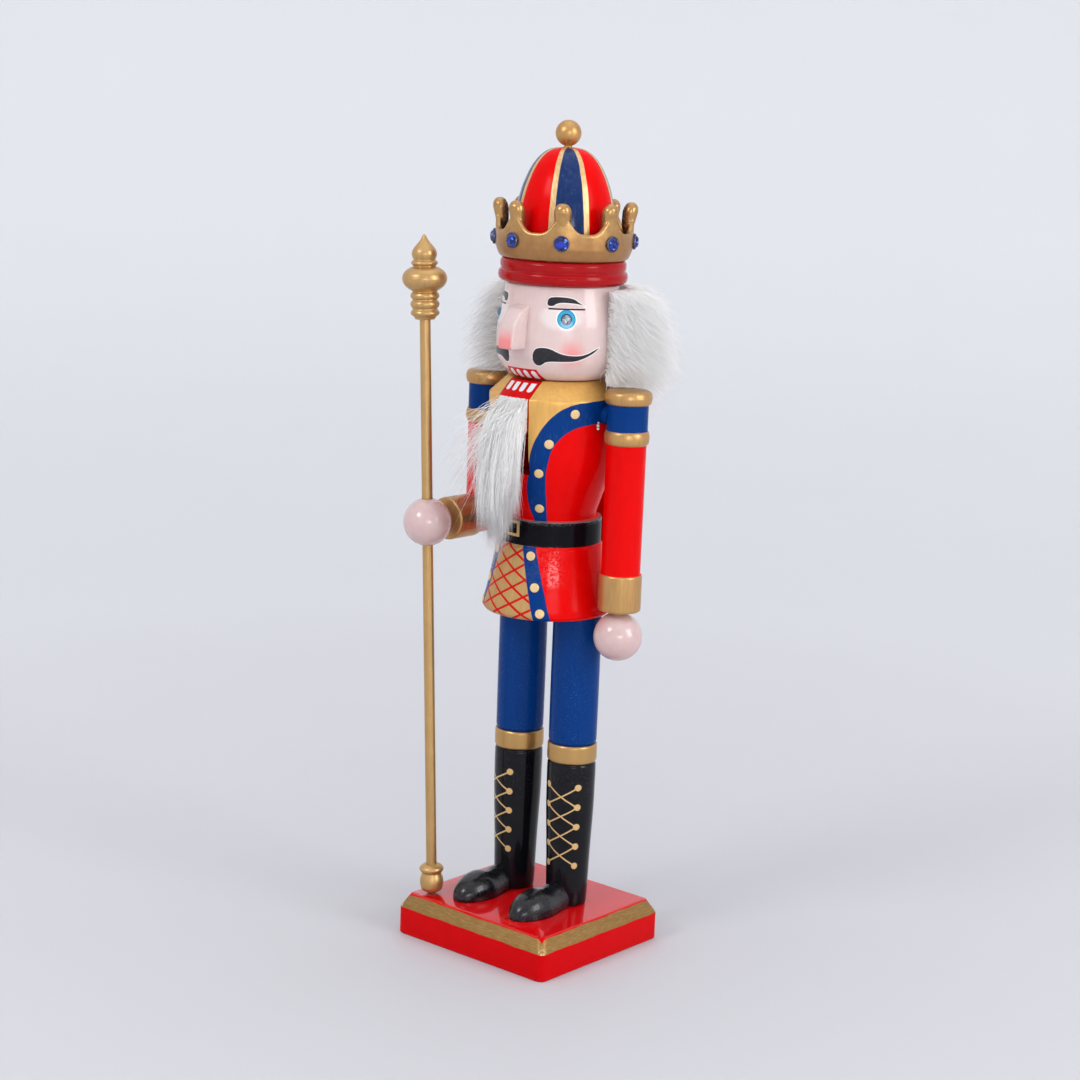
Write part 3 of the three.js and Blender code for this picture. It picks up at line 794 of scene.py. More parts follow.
def torso():
    obj = turned("torso_turned", TORSO_OUTLINE, 144, TORSO_AXIS)
    half, floor = SLOT["half_width"], SLOT["floor"]
    carve(obj, block("slot_cutter", (-half, -60, floor), (half, 60, 300)))
    finish_piece(obj, ["torso"], jacket_paint(), smooth=32)


def drop_of_paint(centre, outward, radius, height=0.35):
    """A round dab of thick paint, standing proud of the surface."""
    profile = [(0, -0.3), (radius * 0.96, -0.3), (radius, 0.02), (radius * 0.9, height * 0.75),
               (radius * 0.6, height), (0, height)]
    return placed(turned("dab", profile, 24, radius=0.2), centre, outward)


def buttons():
    drops = []
    spots = [(sign * turn, z) for turn, z in JACKET_BUTTONS for sign in (1, -1)]
    spots += [(SKIRT_TURN + sign * turn, z) for turn, z in SKIRT_BUTTONS for sign in (1, -1)]
    for turn, z in spots:
        radius = radius_at(TORSO_OUTLINE, z)
        slope = radius_at(TORSO_OUTLINE, z + 2) - radius_at(TORSO_OUTLINE, z - 2)
        outward = around(Vector(), turn, 4, -slope)
        drops.append(drop_of_paint(around(TORSO_AXIS, turn, radius, z), outward, BUTTON_RADIUS))
    obj = join("painted_buttons", drops)
    paint = plain_finish("button_paint", (0.74, 0.52, 0.24), 0.36, (0.8, 2, EVEN, 45), shade=0.4, relief=0.05,
                         metallic=0.25)
    finish_piece(obj, [], paint, smooth=50)


SHOULDER = {"z": 251.5, "inner": 28.6, "outer": 32.9, "radius": 4.4}
GLUE_DABS = [((31.2, -1.6, 247.4), 0.7), ((31.5, -1.9, 246.1), 0.6), ((31.1, -1.4, 248.7), 0.45)]


def shoulder_rings():
    """A ring of thick blue paint that closes the gap round each shoulder dowel."""
    rings = []
    for sign in (1, -1):
        ends = [(sign * SHOULDER[end], ARM_AXIS.y, SHOULDER["z"]) for end in ("inner", "outer")]
        rings.append(rod("ring", *ends, SHOULDER["radius"]))
    paint = Paint("shoulder_ring_paint", BLUE, 0.25, specular=0.07)
    lacquer_finish(paint, depth=0.1)
    finish_piece(join("shoulder_rings", rings), [], paint.done(), smooth=40)


def glue_bead():
    """The bead of dried glue that shows between the shoulder and the chest."""
    drops = [drop_of_paint(place, (0.2, -1, 0.1), size, size * 0.9) for place, size in GLUE_DABS]
    obj = join("shoulder_glue", drops)
    glue = plain_finish("dried_glue", (0.50, 0.48, 0.42), 0.15, (0.8, 2, EVEN, 47), shade=0.3, relief=0.2,
                        coat=0.5)
    finish_piece(obj, [], glue, smooth=60)


# ---- Head ----
DEGREE = 0.497                        # length of a degree round the head
BROW_TOP = [(26.4, 301.2), (26.8, 302.1), (27.8, 302.9), (29.8, 303.4), (39.5, 303.7), (49.7, 303.2),
            (57.1, 301.4), (62.8, 299.8)]
BROW_BOTTOM = [(26.4, 300.9), (27, 300.2), (28.2, 299.8), (30, 299.7), (35.2, 300.7), (41.5, 301.3),
               (48.8, 301.2), (56.2, 300.8), (62.8, 299.7)]
MOUSTACHE_TOP = [(15.4, 276.8), (15.7, 277.9), (16.4, 279.1), (17.6, 280.1), (19.5, 280.8), (22.2, 281.2),
                 (27, 281.3), (32.1, 280.8), (37.3, 279.7), (43.2, 278.7), (50, 278.2), (56.9, 278.2),
                 (63.9, 278.9), (70.3, 280.3), (76.3, 281.7)]
MOUSTACHE_BOTTOM = [(15.4, 276.6), (15.7, 275.6), (16.5, 274.6), (17.8, 273.7), (20, 273.2), (22, 273.2),
                    (24.6, 273.8), (28.1, 274.9), (32.4, 275.3), (39.2, 275.4), (46.1, 275.5), (52.9, 275.7),
                    (60, 276.7), (66.8, 278.2), (72.3, 279.8), (76.3, 281.6)]
EYE = {"azimuth": 44.9, "z": 294.2, "iris": 4.2, "pupil": 2.45, "stone": 1.9}
EYE_WHITE = {"azimuth": 40.7, "z": 295.4, "across": 10.3, "up": 6.3}
LASH = {"z": (298.2, 298.9), "turn": (27.8, 62.7)}
BLUSH = {"azimuth": 51, "z": 278.8, "radius": 8.8}
OUTLINE = 0.42                        # width of the white line round each black stroke
TOOTH_PITCH = 4.15
UPPER_TEETH = {"z": 266.6, "half_width": 1.2, "length": 3.7, "patch_top": 271.1}
ASKEW = {"eye": 2, "moustache": 4}    # degrees that the right side is painted nearer the nose
ENAMEL = (0.72, 0.73, 0.74)
MOUTH_RED = (0.52, 0.004, 0.006)


def brush_stroke(turn, z, top, bottom, grow):
    """A painted stroke between two edges, each given as (azimuth, height), grown on every side."""
    start, end = top[0][0] - grow / DEGREE, top[-1][0] + grow / DEGREE
    return ((z - turn.curve(top)).below(grow) * (z - turn.curve(bottom)).above(-grow)
            * turn.between(start, end, 0.3))


def tooth_row(x, up, half_width, length):
    """Four teeth side by side, square at up = 0 and round at up = length."""
    column = (x - TOOTH_PITCH / 2) / TOOTH_PITCH
    across = abs(column - column.math("ROUND")) * TOOTH_PITCH
    beyond = (up - (length - half_width)).far(0)
    return (across.hypot(beyond).below(half_width, 0.16) * up.above(0, 0.16)
            * abs(x).below(TOOTH_PITCH * 2, 0.1))


def skin_paint(name):
    paint = Paint(name, SKIN, 0.18, coat=0.3, coat_roughness=0.08, specular=0.3)
    lacquer_finish(paint, depth=0.035)
    return paint


def painted_eye(paint, turn, z):
    """A white rim, a blue iris with a brighter streaky ring in it, and a dark ring round the stone."""
    across = (turn - EYE_WHITE["azimuth"]) * DEGREE / EYE_WHITE["across"]
    white = across.hypot((z - EYE_WHITE["z"]) / EYE_WHITE["up"]).below(0.95, 0.3)
    paint.coat(white * z.below(LASH["z"][0] + 0.4) * 0.32, WHITE)
    from_eye = ((turn - EYE["azimuth"]) * DEGREE).hypot(z - EYE["z"])
    streak = paint.noise(0.6, 2, seed=52)
    paint.coat(from_eye.below(EYE["iris"] + 0.45), WHITE)
    paint.coat(from_eye.below(EYE["iris"]), (0.012, 0.23, 0.42))
    ring = from_eye.between(EYE["pupil"] + 0.05, EYE["iris"] - 0.5, 0.5)
    paint.coat(ring * (streak + 0.75), (0.03, 0.36, 0.56))
    paint.coat(from_eye.below(EYE["pupil"], 0.3), (0.01, 0.04, 0.10))


def brow_and_moustache(paint, turn, lip, z):
    """Black strokes inside a white outline, and the line of the lashes. Gives where the strokes are."""
    outlines, strokes = (brush_stroke(turn, z, BROW_TOP, BROW_BOTTOM, grow).far(
        brush_stroke(lip, z, MOUSTACHE_TOP, MOUSTACHE_BOTTOM, grow)) for grow in (OUTLINE, 0))
    paint.coat(outlines * 0.65, WHITE)
    paint.coat(z.between(*LASH["z"]) * turn.between(*LASH["turn"], 0.5), BLACK)
    hairs = paint.noise(0.5, 2, (1, 1, 0.5), seed=53)
    paint.coat(strokes, (0.006, 0.005, 0.009), 0.35)
    paint.coat(strokes * hairs.above(0.16, 0.15) * 0.3, (0.09, 0.09, 0.11), 0.5)
    return strokes


def upper_lip(paint, x, y, z):
    """Teeth on a red patch that widens downwards. Gives how far each stands out."""
    top, front = UPPER_TEETH["patch_top"], y.below(0)
    half_patch = -(z - top) * 0.28 + 8.672
    patch = (abs(x + 0.4) - half_patch).below(0, 0.15) * z.below(top) * front
    paint.coat(patch, MOUTH_RED, 0.2)
    teeth = tooth_row(x, z - UPPER_TEETH["z"], UPPER_TEETH["half_width"], UPPER_TEETH["length"]) * front
    paint.coat(teeth, ENAMEL, 0.25)
    return patch.far(teeth * 0.6)


def face_paint():
    paint = skin_paint("face_paint")
    x, y, z = paint.xyz(HEAD_AXIS)
    azimuth = azimuth_of(x, y)
    turn = azimuth.far(-azimuth + ASKEW["eye"])
    lip = azimuth.far(-azimuth + ASKEW["moustache"])
    dry_brush = paint.noise(0.5, 2, (0.4, 1, 1), seed=51)
    blush = ((turn - BLUSH["azimuth"]) * DEGREE).hypot((z - BLUSH["z"]) * 0.95).glow(BLUSH["radius"])
    paint.coat(blush * (dry_brush * 0.4 + 0.58), (0.80, 0.10, 0.10))
    painted_eye(paint, turn, z)
    strokes = brow_and_moustache(paint, turn, lip, z)
    paint.bump(strokes.far(upper_lip(paint, x, y, z)), 0.06)
    return paint.done()


def head():
    obj = turned("head_turned", HEAD_OUTLINE, 128, HEAD_AXIS, radius=1.2)
    finish_piece(obj, ["head"], face_paint(), smooth=50)


def nose():
    """A block with a curved bridge and a blushing tip."""
    bridge = [(-19, 299.4), (-20.6, 299.3), (-23, 298.2), (-25.6, 296.5), (-27.7, 294), (-29.2, 291.2),
              (-30.2, 287.8), (-30.8, 284.4), (-31, 281.4), (-30.7, 280.3), (-29.8, 280), (-19, 280)]
    half_width = 4.2
    obj = rounded(plate("nose_carved", bridge, half_width), 0.75)
    paint = skin_paint("nose_paint")
    x, y, z = paint.xyz()
    dry_brush = paint.noise(0.5, 2, seed=55)
    tip = (z - 282.5).hypot((y + 31.5) * 1.3).glow(9) * x.below(3.6, 1.2)
    paint.coat(tip * (dry_brush * 0.4 + 0.72), (0.84, 0.12, 0.12))
    finish_piece(obj, ["nose"], paint.done(), smooth=40)


# ---- Crown's places and the cut stones ----
CROWN = {"points": 8, "turn": -7, "wall": 31, "gem_z": 327.4, "bottom": 319.2, "dip": 331.5, "rise": 7.6}
CROWN_TURNS = [CROWN["turn"] + i * 360 / CROWN["points"] for i in range(CROWN["points"])]


def cut_stone(radius, height, sides=8):
    """A brilliant cut facing +Z: table, star and kite facets and a thin girdle."""
    def ring(r, z, shift, count):
        return [(r * math.cos(2 * math.pi * (k + shift) / count),
                 r * math.sin(2 * math.pi * (k + shift) / count), z) for k in range(count)]

    verts = ring(radius * 0.52, height, 0, sides) + ring(radius * 0.80, height * 0.70, 0.5, sides)
    verts += ring(radius, height * 0.22, 0, sides * 2) + ring(radius, -0.5, 0, sides * 2)
    star, girdle, foot = sides, 2 * sides, 4 * sides
    faces = [tuple(range(sides))]
    for k in range(sides):
        after = (k + 1) % sides
        first, second, third = (girdle + (2 * k + i) % (2 * sides) for i in range(3))
        faces += [(k, star + k, after), (star + k, first, second), (star + k, second, third),
                  (after, star + k, third, star + after)]
    for k in range(2 * sides):
        after = (k + 1) % (2 * sides)
        faces.append((girdle + k, foot + k, foot + after, girdle + after))
    faces.append(tuple(foot + k for k in range(2 * sides))[::-1])
    return new_object("stone", verts, faces, smooth=1)


def stone_finish(name, dark, reflection_colour, glint):
    """Foiled glass: facets of the pavilion show as cells, some dark, some bright with a painted reflection
    and a few sparkling with a painted glint.
    """
    paint = Paint(name, dark, 0.08, 0.2, coat=0.5, coat_roughness=0.02, specular=0.3)
    cells = paint.cells(1.7)
    glint_cells = paint.cells(1.0, seed=3)
    # Painted reflections on the bright facets, and painted glints on a few small cells.
    paint.coat(cells.above(0.62, 0.2), reflection_colour)
    paint.coat(glint_cells.above(0.93, 0.03), glint)
    paint.bump(cells, 0.08)
    return paint.done()


GEM = {"radius": 3.05, "height": 1.9}
RIM_OUTLINE = [(0, -0.5), (3.5, -0.5), (3.6, 0.3), (3.3, 0.75), (2.95, 0.7), (2.9, 0.1), (0, 0.1)]


def gems():
    stones, rims = [], []
    for azimuth in CROWN_TURNS:
        outward = around(Vector(), azimuth, 1, 0)
        centre = around(HEAD_AXIS, azimuth, CROWN["wall"] + 0.35, CROWN["gem_z"])
        stones.append(placed(cut_stone(**GEM), centre, outward))
        rims.append(placed(turned("rim", RIM_OUTLINE, 40, radius=0.12), centre, outward))
    nodes = [f"crown_gem_{i + 1}" for i in range(CROWN["points"])]
    finish_piece(join("crown_stones", stones), nodes,
                 stone_finish("blue_glass", (0.001, 0.002, 0.085), (0.003, 0.03, 0.40), (0.16, 0.42, 1.0)),
                 smooth=1)
    setting = plain_finish("stone_setting", (0.10, 0.10, 0.16), 0.25, (0.8, 2, EVEN, 61), shade=0.8,
                           rough=0.2, metallic=0.8)
    finish_piece(join("crown_stone_settings", rims), [], setting, smooth=50)


def eye_stones():
    stones = []
    for azimuth in (EYE["azimuth"], ASKEW["eye"] - EYE["azimuth"]):
        centre = around(HEAD_AXIS, azimuth, radius_at(HEAD_OUTLINE, EYE["z"]) + 0.1, EYE["z"])
        stones.append(placed(cut_stone(EYE["stone"], 1.1), centre, around(Vector(), azimuth, 1, 0.08)))
    finish_piece(join("eye_stones", stones), ["eye_gem_left", "eye_gem_right"],
                 stone_finish("clear_glass", (0.16, 0.19, 0.22), (0.45, 0.47, 0.48), (0.9, 0.9, 0.88)),
                 smooth=1)


# ---- Hat and crown ----
BAND_TOP = 319
BALL_RADIUS = 5.8
STRIPE_HALF = 20                      # degrees from the middle of a blue stripe to its gold line


def hat():
    """Red and blue stripes with gold lines between, over a deep red band."""
    obj = turned("hat_turned", HAT_OUTLINE, 128, HEAD_AXIS)
    paint = Paint("hat_paint", RED, 0.2, coat_roughness=0.14, specular=0.05)
    x, y, z = paint.xyz(HEAD_AXIS)
    lacquer_finish(paint, (0.6, 0.6, 0.3), 0.05)
    radius = x.hypot(y)
    azimuth = azimuth_of(x, y)
    wobble = paint.noise(9, 2, seed=62)
    off_blue = abs((azimuth + 360).math("MODULO", 90) - 45)
    from_line = (off_blue - STRIPE_HALF) * radius * (math.pi / 180) + wobble * 0.6
    dome, band = z.above(BAND_TOP), z.below(BAND_TOP)
    brush = paint.noise(1.2, 3, (1, 1, 0.3), seed=63)
    stripe = dome * from_line.below(0)
    paint.coat(stripe, (0.004, 0.022, 0.105), 0.22)
    paint.coat(stripe * brush.above(0.14, 0.2) * 0.5, (0.03, 0.07, 0.17))
    line = dome * (abs(from_line) - radius * 0.025 - 0.75).below(0)
    paint.coat(line, (0.70, 0.47, 0.22), 0.36, 0.45)
    paint.coat(line * brush.above(0.05, 0.3) * 0.5, (0.38, 0.22, 0.08))
    paint.coat(band, DEEP_RED)
    paint.gloss(band * 0.26 + stripe * brush.above(-0.1, 0.3) * 0.55 + 0.03)
    finish_piece(obj, ["hat"], paint.done(), smooth=40)


def hat_ball():
    centre, top = middle("hat_ball"), high("hat_ball").z
    foot, neck = 367.2, 2.6
    side = [(r, top - BALL_RADIUS + z) for r, z in ball_profile(BALL_RADIUS, 22, 2, 22)]
    obj = turned("hat_ball_turned", [(0, foot), (neck, foot), *side, (0, top)], 48, (centre.x, centre.y, 0))
    finish_piece(obj, ["hat_ball"], gold_paint("ball_gold", (0.52, 0.29, 0.10)), smooth=60)


def crown_wall():
    """The band, with an edge that dips between the points."""
    per_point = 24
    wall, bottom = CROWN["wall"], CROWN["bottom"]
    rings = []
    for i in range(CROWN["points"] * per_point):
        azimuth = CROWN["turn"] + i * 360 / (CROWN["points"] * per_point)
        lift = ((1 + math.cos(i / per_point * 2 * math.pi)) / 2) ** 2
        top = CROWN["dip"] + CROWN["rise"] * lift
        section = [(27.2, bottom), (28, 324), (28.3, 330.4), (wall - 2.5, top - 0.7), (wall - 1.9, top),
                   (wall - 0.5, top), (wall, top - 0.8), (wall, 329.5), (wall - 0.1, 324.5),
                   (wall - 1.2, 321.2), (28.9, 319.6), (28.4, bottom)]
        rings.append([tuple(around(HEAD_AXIS, azimuth, r, z)) for r, z in section])
    return skinned("wall", rings, closed=True)


# A finger's sections from its foot to its tip, as (distance from the head's axis, height, radius).
FINGER = [(28, 330.8, 1.8), (28.1, 333.6, 3), (28.3, 336.2, 3.45), (28.7, 338.6, 3.7), (29, 340.6, 3.95),
          (29.3, 342.5, 3.6), (29.4, 344, 2.6), (29.4, 344.8, 1.2)]


def crown_finger(azimuth):
    """A fat knob that rises behind each point and curls outward at its tip."""
    sides = 20
    rings = []
    for r, z, size in FINGER:
        ring = []
        for k in range(sides):
            turn = 2 * math.pi * k / sides
            out = around(Vector(), azimuth, r + size * 0.9 * math.cos(turn), 0)
            side = around(Vector(), azimuth + 90, size * math.sin(turn), 0)
            ring.append(tuple(HEAD_AXIS + out + side + UP * z))
        rings.append(ring)
    return skinned("finger", rings)


def crown():
    obj = join("crown_cast", [crown_wall()] + [crown_finger(azimuth) for azimuth in CROWN_TURNS])
    remesh = obj.modifiers.new("blend", "REMESH")
    remesh.mode = "VOXEL"
    remesh.voxel_size = 0.42 * MM
    relax = obj.modifiers.new("relax", "SMOOTH")
    relax.iterations = 4
    apply_modifiers(obj)
    paint = Paint("cast_gold", (0.385, 0.195, 0.073), 0.34, 0.78)
    x, y, z = paint.xyz(HEAD_AXIS)
    radius = x.hypot(y)
    mottle = paint.noise(3.5, 3, seed=65)
    fine = paint.noise(0.5, 2, seed=66)
    pits = paint.noise(1.1, 3, seed=67)
    paint.shade(mottle * 0.45 + fine * 0.2)
    # The high knobs and rims are painted brighter and glossier, a painted highlight, and the inside of each
    # finger is rough and brown.
    paint.coat(z.between(330, 352, 6) * radius.above(28.6, 1.2) * (mottle + 0.45), (0.56, 0.35, 0.13), 0.22)
    inside = radius.below(27.6, 0.9) * z.above(326, 2)
    paint.coat(inside * pits.above(-0.05, 0.12), (0.10, 0.035, 0.01), 0.5, 0.3)
    paint.bump(mottle * 0.6 + fine * 0.12 + inside * pits * 6, 0.16)
    paint.roughness = paint.roughness + mottle * 0.14 + fine * 0.08
    finish_piece(obj, ["crown"], paint.done(), smooth=60)


# ---- Arms and hands ----
ELBOW = {"z": 196.5, "gap": 0.12}
SLEEVE = {"cap": 257.9, "shoulder": 246, "ring": 239.9, "cuff": 181}   # heights where colours change
DOWN_SLEEVE = (1, 1, 0.1)             # stretches the brush strokes along an upright arm
GRIP_RADIUS = 2.75


def sleeve_paint(name, height, streak):
    """Paint by height: gold cap, blue shoulder, gold ring, red sleeve and gold cuff."""
    paint = Paint(name, RED, 0.2, coat=0.03, coat_roughness=0.1, specular=0.05)
    at = height(*paint.xyz()) + paint.noise(5, 2, seed=71) * 0.5
    lacquer_finish(paint, streak, 0.05)
    paint.coat(at.between(SLEEVE["shoulder"], SLEEVE["cap"], 0.2), BLUE)
    grain = paint.noise(0.8, 3, streak, seed=72)
    ring = at.between(SLEEVE["ring"], SLEEVE["shoulder"], 0.2)
    gold = at.above(SLEEVE["cap"], 0.2).far(ring).far(at.below(SLEEVE["cuff"], 0.2))
    paint.coat(gold, (0.52, 0.30, 0.115), 0.34, 0.72)
    paint.coat(gold * grain.above(0.10, 0.3) * 0.3, (0.26, 0.14, 0.05), 0.42)
    paint.bump(gold * grain, 0.04)
    return paint.done()


def arms():
    """The hanging left arm, and the right arm in two pieces mitred at the elbow."""
    left = turned("left_arm_turned", LEFT_ARM_OUTLINE, 72, (ARM_AXIS.x, ARM_AXIS.y, 0))
    finish_piece(left, ["left_arm"],
                 sleeve_paint("left_sleeve", lambda x, y, z: z, DOWN_SLEEVE), smooth=40)
    elbow = Vector((-ARM_AXIS.x, ARM_AXIS.y, ELBOW["z"]))
    mitre = Vector((0, 1, 1)).normalized()
    upper = turned("right_upper_arm_turned", [(0, elbow.z - 12), (8.8, elbow.z - 12), *SLEEVE_TOP], 72,
                   (elbow.x, elbow.y, 0))
    sliced(upper, elbow + mitre * ELBOW["gap"], mitre)
    finish_piece(upper, ["right_upper_arm"],
                 sleeve_paint("right_sleeve", lambda x, y, z: z, DOWN_SLEEVE), smooth=40)
    length = elbow.y - low("right_forearm").y
    cuff = length - 16.8
    lying = turned("right_forearm_turned", [
        (0, -12), (8.8, -12), (8.8, cuff - 0.4), (9.3, cuff), (9.9, cuff + 0.8), (9.9, length - 0.8),
        (9.4, length), (0, length)], 72)
    lying.data.transform(Matrix.Translation(elbow * MM) @ Matrix.Rotation(math.pi / 2, 4, "X"))
    sliced(lying, elbow - mitre * ELBOW["gap"], -mitre)
    to_cuff = elbow.y - cuff - SLEEVE["cuff"]
    finish_piece(lying, ["right_forearm"],
                 sleeve_paint("forearm_sleeve", lambda x, y, z: y - to_cuff, (1, 0.1, 1)), smooth=40)


def hands():
    """Two balls with a flat where each meets its cuff. The right one is drilled for the staff."""
    flat = HAND_RADIUS * math.cos(math.pi / 16)
    profile = [(0, -HAND_RADIUS), *ball_profile(HAND_RADIUS, 32, 1, 31), (0, flat)]
    for side in ("left", "right"):
        obj = turned(f"{side}_hand_turned", profile, 64, radius=0.6)
        if side == "right":
            obj.data.transform(Matrix.Rotation(-math.pi / 2, 4, "X"))
            carve(obj, rod("grip", -STAFF_AXIS * 20, STAFF_AXIS * 20, GRIP_RADIUS))
            rounded(obj, 0.5, angle=35)
        obj.data.transform(Matrix.Translation(middle(f"{side}_hand") * MM))
        paint = Paint(f"{side}_hand_paint", HAND_SKIN, 0.20, coat=0.4, coat_roughness=0.17)
        blotch = paint.noise(6, 2, seed=75)
        lacquer_finish(paint, depth=0.04)
        paint.coat(blotch.above(0.02, 0.4) * 0.3, SKIN)
        finish_piece(obj, [f"{side}_hand"], paint.done(), smooth=50)


# ---- Staff ----
STAFF_FOOT_OUTLINE = [
    (0, 0), (2.8, 0), (4.4, 0.9), (5.2, 2.4), (5.5, 4.4), (5.5, 5.8), (5.2, 7.4), (4.7, 8.6), (4.5, 9.3),
    (4.7, 9.7), (5.1, 10), (5.6, 10.8), (5.75, 11.5), (5.3, 12.4), (4.4, 13.1), (3.6, 13.6), (0, 13.6),
]
FINIAL_OUTLINE = [
    (0, 0), (4.4, 0), (4.7, 0.5), (5.1, 1.2), (6.2, 2), (6.6, 2.8), (6.3, 3.7), (5.6, 4.5), (5.6, 4.9),
    (6.4, 5.9), (6.65, 6.9), (6.4, 7.9), (5.6, 8.6), (5.6, 9), (6.4, 9.8), (6.6, 10.7), (6.2, 11.7),
    (5.4, 12.6), (6.8, 13.4), (8.8, 15), (9.9, 16.9), (10.2, 18.4), (9.8, 20.2), (8.5, 21.9), (6.6, 23.1),
    (5.1, 23.7), (5.2, 24.2), (6.0, 24.8), (6.1, 25.4), (5.6, 26.2), (4.8, 26.7), (5.4, 27.8), (5.75, 29.3),
    (5.4, 30.9), (4.4, 32.4), (3.0, 34), (1.7, 35.6), (0.9, 37.3), (0, 38.3),
]


ROD_OUTLINE = [(0, 6.4), (2.3, 6.4), (2.45, 6.6), (2.45, 278.7), (2.3, 279), (0, 279)]
# Each piece's outline, and how far up the staff the outline starts.
STAFF_PIECES = {
    "staff_foot": (STAFF_FOOT_OUTLINE, 0),
    "staff_finial": (FINIAL_OUTLINE, 269.4),
    "staff_rod": (ROD_OUTLINE, 0),
}


def staff():
    bottom = middle("staff_foot") - STAFF_AXIS * 6.8
    for node, (outline, lift) in STAFF_PIECES.items():
        obj = turned(f"{node}_turned", [(r, z + lift) for r, z in outline], 56, radius=0.35)
        placed(obj, bottom, STAFF_AXIS)
        finish_piece(obj, [node], gold_paint(f"{node}_gold", (0.52, 0.32, 0.125)), 50, STAFF)


# ---- Jaw ----
LEVER_OUTLINE = [
    (-35, 265.3), (-10, 265.3), (-3, 253.5), (14, 252), (29, 254.2), (37.5, 253.6), (42.5, 250),
    (45, 244), (44.6, 205), (45.6, 170), (44.6, 166), (41.6, 164.5), (39, 166.5), (38.4, 205),
    (38.6, 229), (36.4, 234.5), (30, 236.8), (10, 235.4), (2, 235), (-6, 237.6), (-12, 241.4),
    (-20, 243.4), (-35, 243.4),
]


LEVER_HALF_WIDTH = 8.5
LOWER_TEETH = {"top": 265.3, "half_width": 1.25, "length": 5.2}


def jaw_lever():
    """A plank with its outer ends rounded to match the body, and the lower teeth on its front."""
    outline = [tuple(p) for p in soften(LEVER_OUTLINE, 2.2, 4)]
    lever = plate("jaw_lever_carved", outline, LEVER_HALF_WIDTH)
    # The body's own surface, left open towards the back, trims the plank.
    keep = turned("keep", TORSO_OUTLINE, 144, TORSO_AXIS)
    carve(keep, block("behind", (-30, 0, 145), (30, 60, 285)), "UNION")
    carve(lever, keep, "INTERSECT")
    rounded(lever, 0.35, angle=35, segments=2)
    paint = Paint("jaw_paint", RED, 0.2, coat=0.03, coat_roughness=0.1, specular=0.05)
    x, y, z = paint.xyz()
    lacquer_finish(paint, depth=0.05)
    front = y.below(-14)
    paint.coat(front * z.above(244), (0.56, 0.004, 0.006))
    down_slope = -(z - LOWER_TEETH["top"]) * 1.45
    teeth = tooth_row(x, down_slope - 1.1, LOWER_TEETH["half_width"], LOWER_TEETH["length"]) * front
    paint.coat(teeth, ENAMEL, 0.25)
    paint.bump(teeth, 0.08)
    finish_piece(lever, ["jaw_lever"], paint.done(), 40, JAW)


# ---- Hidden hardware ----
def hardware():
    """Dowels, screws and the jaw's pin keep their CAD meshes, and get a finish."""
    grain, turning = (0.9, 4, (1, 1, 0.06), 8), (0.3, 3, (1, 1, 0.1), 9)
    finishes = {
        "bare_wood": plain_finish("bare_wood", (0.50, 0.31, 0.15), 0.7, grain, shade=0.5, relief=0.08),
        "steel": plain_finish("steel", (0.55, 0.56, 0.58), 0.3, turning, shade=0.3, rough=0.2, metallic=1.0),
    }
    for name, node in frame["nodes"].items():
        is_wood = "dowel" in name
        is_metal = "screw" in name or name == "jaw_pin"
        if is_wood or is_metal:
            node.data.materials.clear()
            node.data.materials.append(finishes["bare_wood" if is_wood else "steel"])


# ---- Fur ----
TAPER = (1.0, 0.9, 0.72, 0.42)        # thickness at the rings of each hair, before its tip
CURL = 0.07                           # how far each step of a hair strays from its heading
SKULL_RADIUS = 29.2
HAIRS_IN_PART = 8800
HAIR_ROOTS = (266.8, 307)             # heights
HAIRLINE = 84.5                       # azimuth at which the hair begins
CHEST_TOP = 266
# The handle's upper edge when the jaw is open, as Y positions behind the body and the heights there.
OPEN_HANDLE = ((23, 31, 37, 42, 56), (263.8, 266.4, 265.2, 260.8, 226))


def unit(vectors):
    return vectors / np.maximum(np.linalg.norm(vectors, axis=-1, keepdims=True), 1e-9)


def hairs(name, path, thickness, seed):
    """Three-sided tapered tubes. The path is an array of hairs x 5 points x 3."""
    count = len(path)
    along = unit(np.gradient(path, axis=1)[:, :4])
    reference = unit(np.random.default_rng(seed).normal(size=(count, 1, 3)))
    side = unit(np.cross(along, reference))
    other = np.cross(along, side)
    girth = thickness[:, None, None] * np.array(TAPER)[None, :, None]
    verts = np.empty((count, 13, 3))
    for k in range(3):
        turn = 2 * math.pi * k / 3
        verts[:, k:12:3] = path[:, :4] + girth * (side * math.cos(turn) + other * math.sin(turn))
    verts[:, 12] = path[:, 4]
    quads = [(3 * i + k, 3 * i + (k + 1) % 3, 3 * i + 3 + (k + 1) % 3, 3 * i + 3 + k)
             for i in range(3) for k in range(3)]
    tris = [(9, 10, 12), (10, 11, 12), (11, 9, 12), (0, 2, 1)]
    offsets = np.arange(count)[:, None, None] * 13
    faces = (np.array(quads)[None] + offsets).reshape(-1, 4).tolist()
    faces += (np.array(tris)[None] + offsets).reshape(-1, 3).tolist()
    mesh = bpy.data.meshes.new(name)
    mesh.from_pydata((verts.reshape(-1, 3) * MM).tolist(), [], faces)
    mesh.polygons.foreach_set("use_smooth", [True] * len(mesh.polygons))
    obj = bpy.data.objects.new(name, mesh)
    bpy.context.scene.collection.objects.link(obj)
    return obj


def grown(roots, starts, ends, lengths, keep_clear, rng):
    """Hairs that set off in one direction and bend to another, pushed clear of the wood."""
    points = [keep_clear(roots)]
    for i in range(4):
        t = ((i + 0.5) / 4) ** 0.9
        heading = unit(starts * (1 - t) + ends * t + rng.normal(size=roots.shape) * CURL)
        points.append(keep_clear(points[-1] + heading * (lengths / 4)[:, None]))
    return np.stack(points, axis=1)


def pushed_out(points, axis, radii, inside):
    """Moves points out to a radius from an upright axis, where inside says so."""
    x, y = points[:, 0] - axis.x, points[:, 1] - axis.y
    distance = np.maximum(np.hypot(x, y), 1e-6)
    scale = np.where(inside & (distance < radii), radii / distance, 1.0)
    points[:, 0] = axis.x + x * scale
    points[:, 1] = axis.y + y * scale
    return points


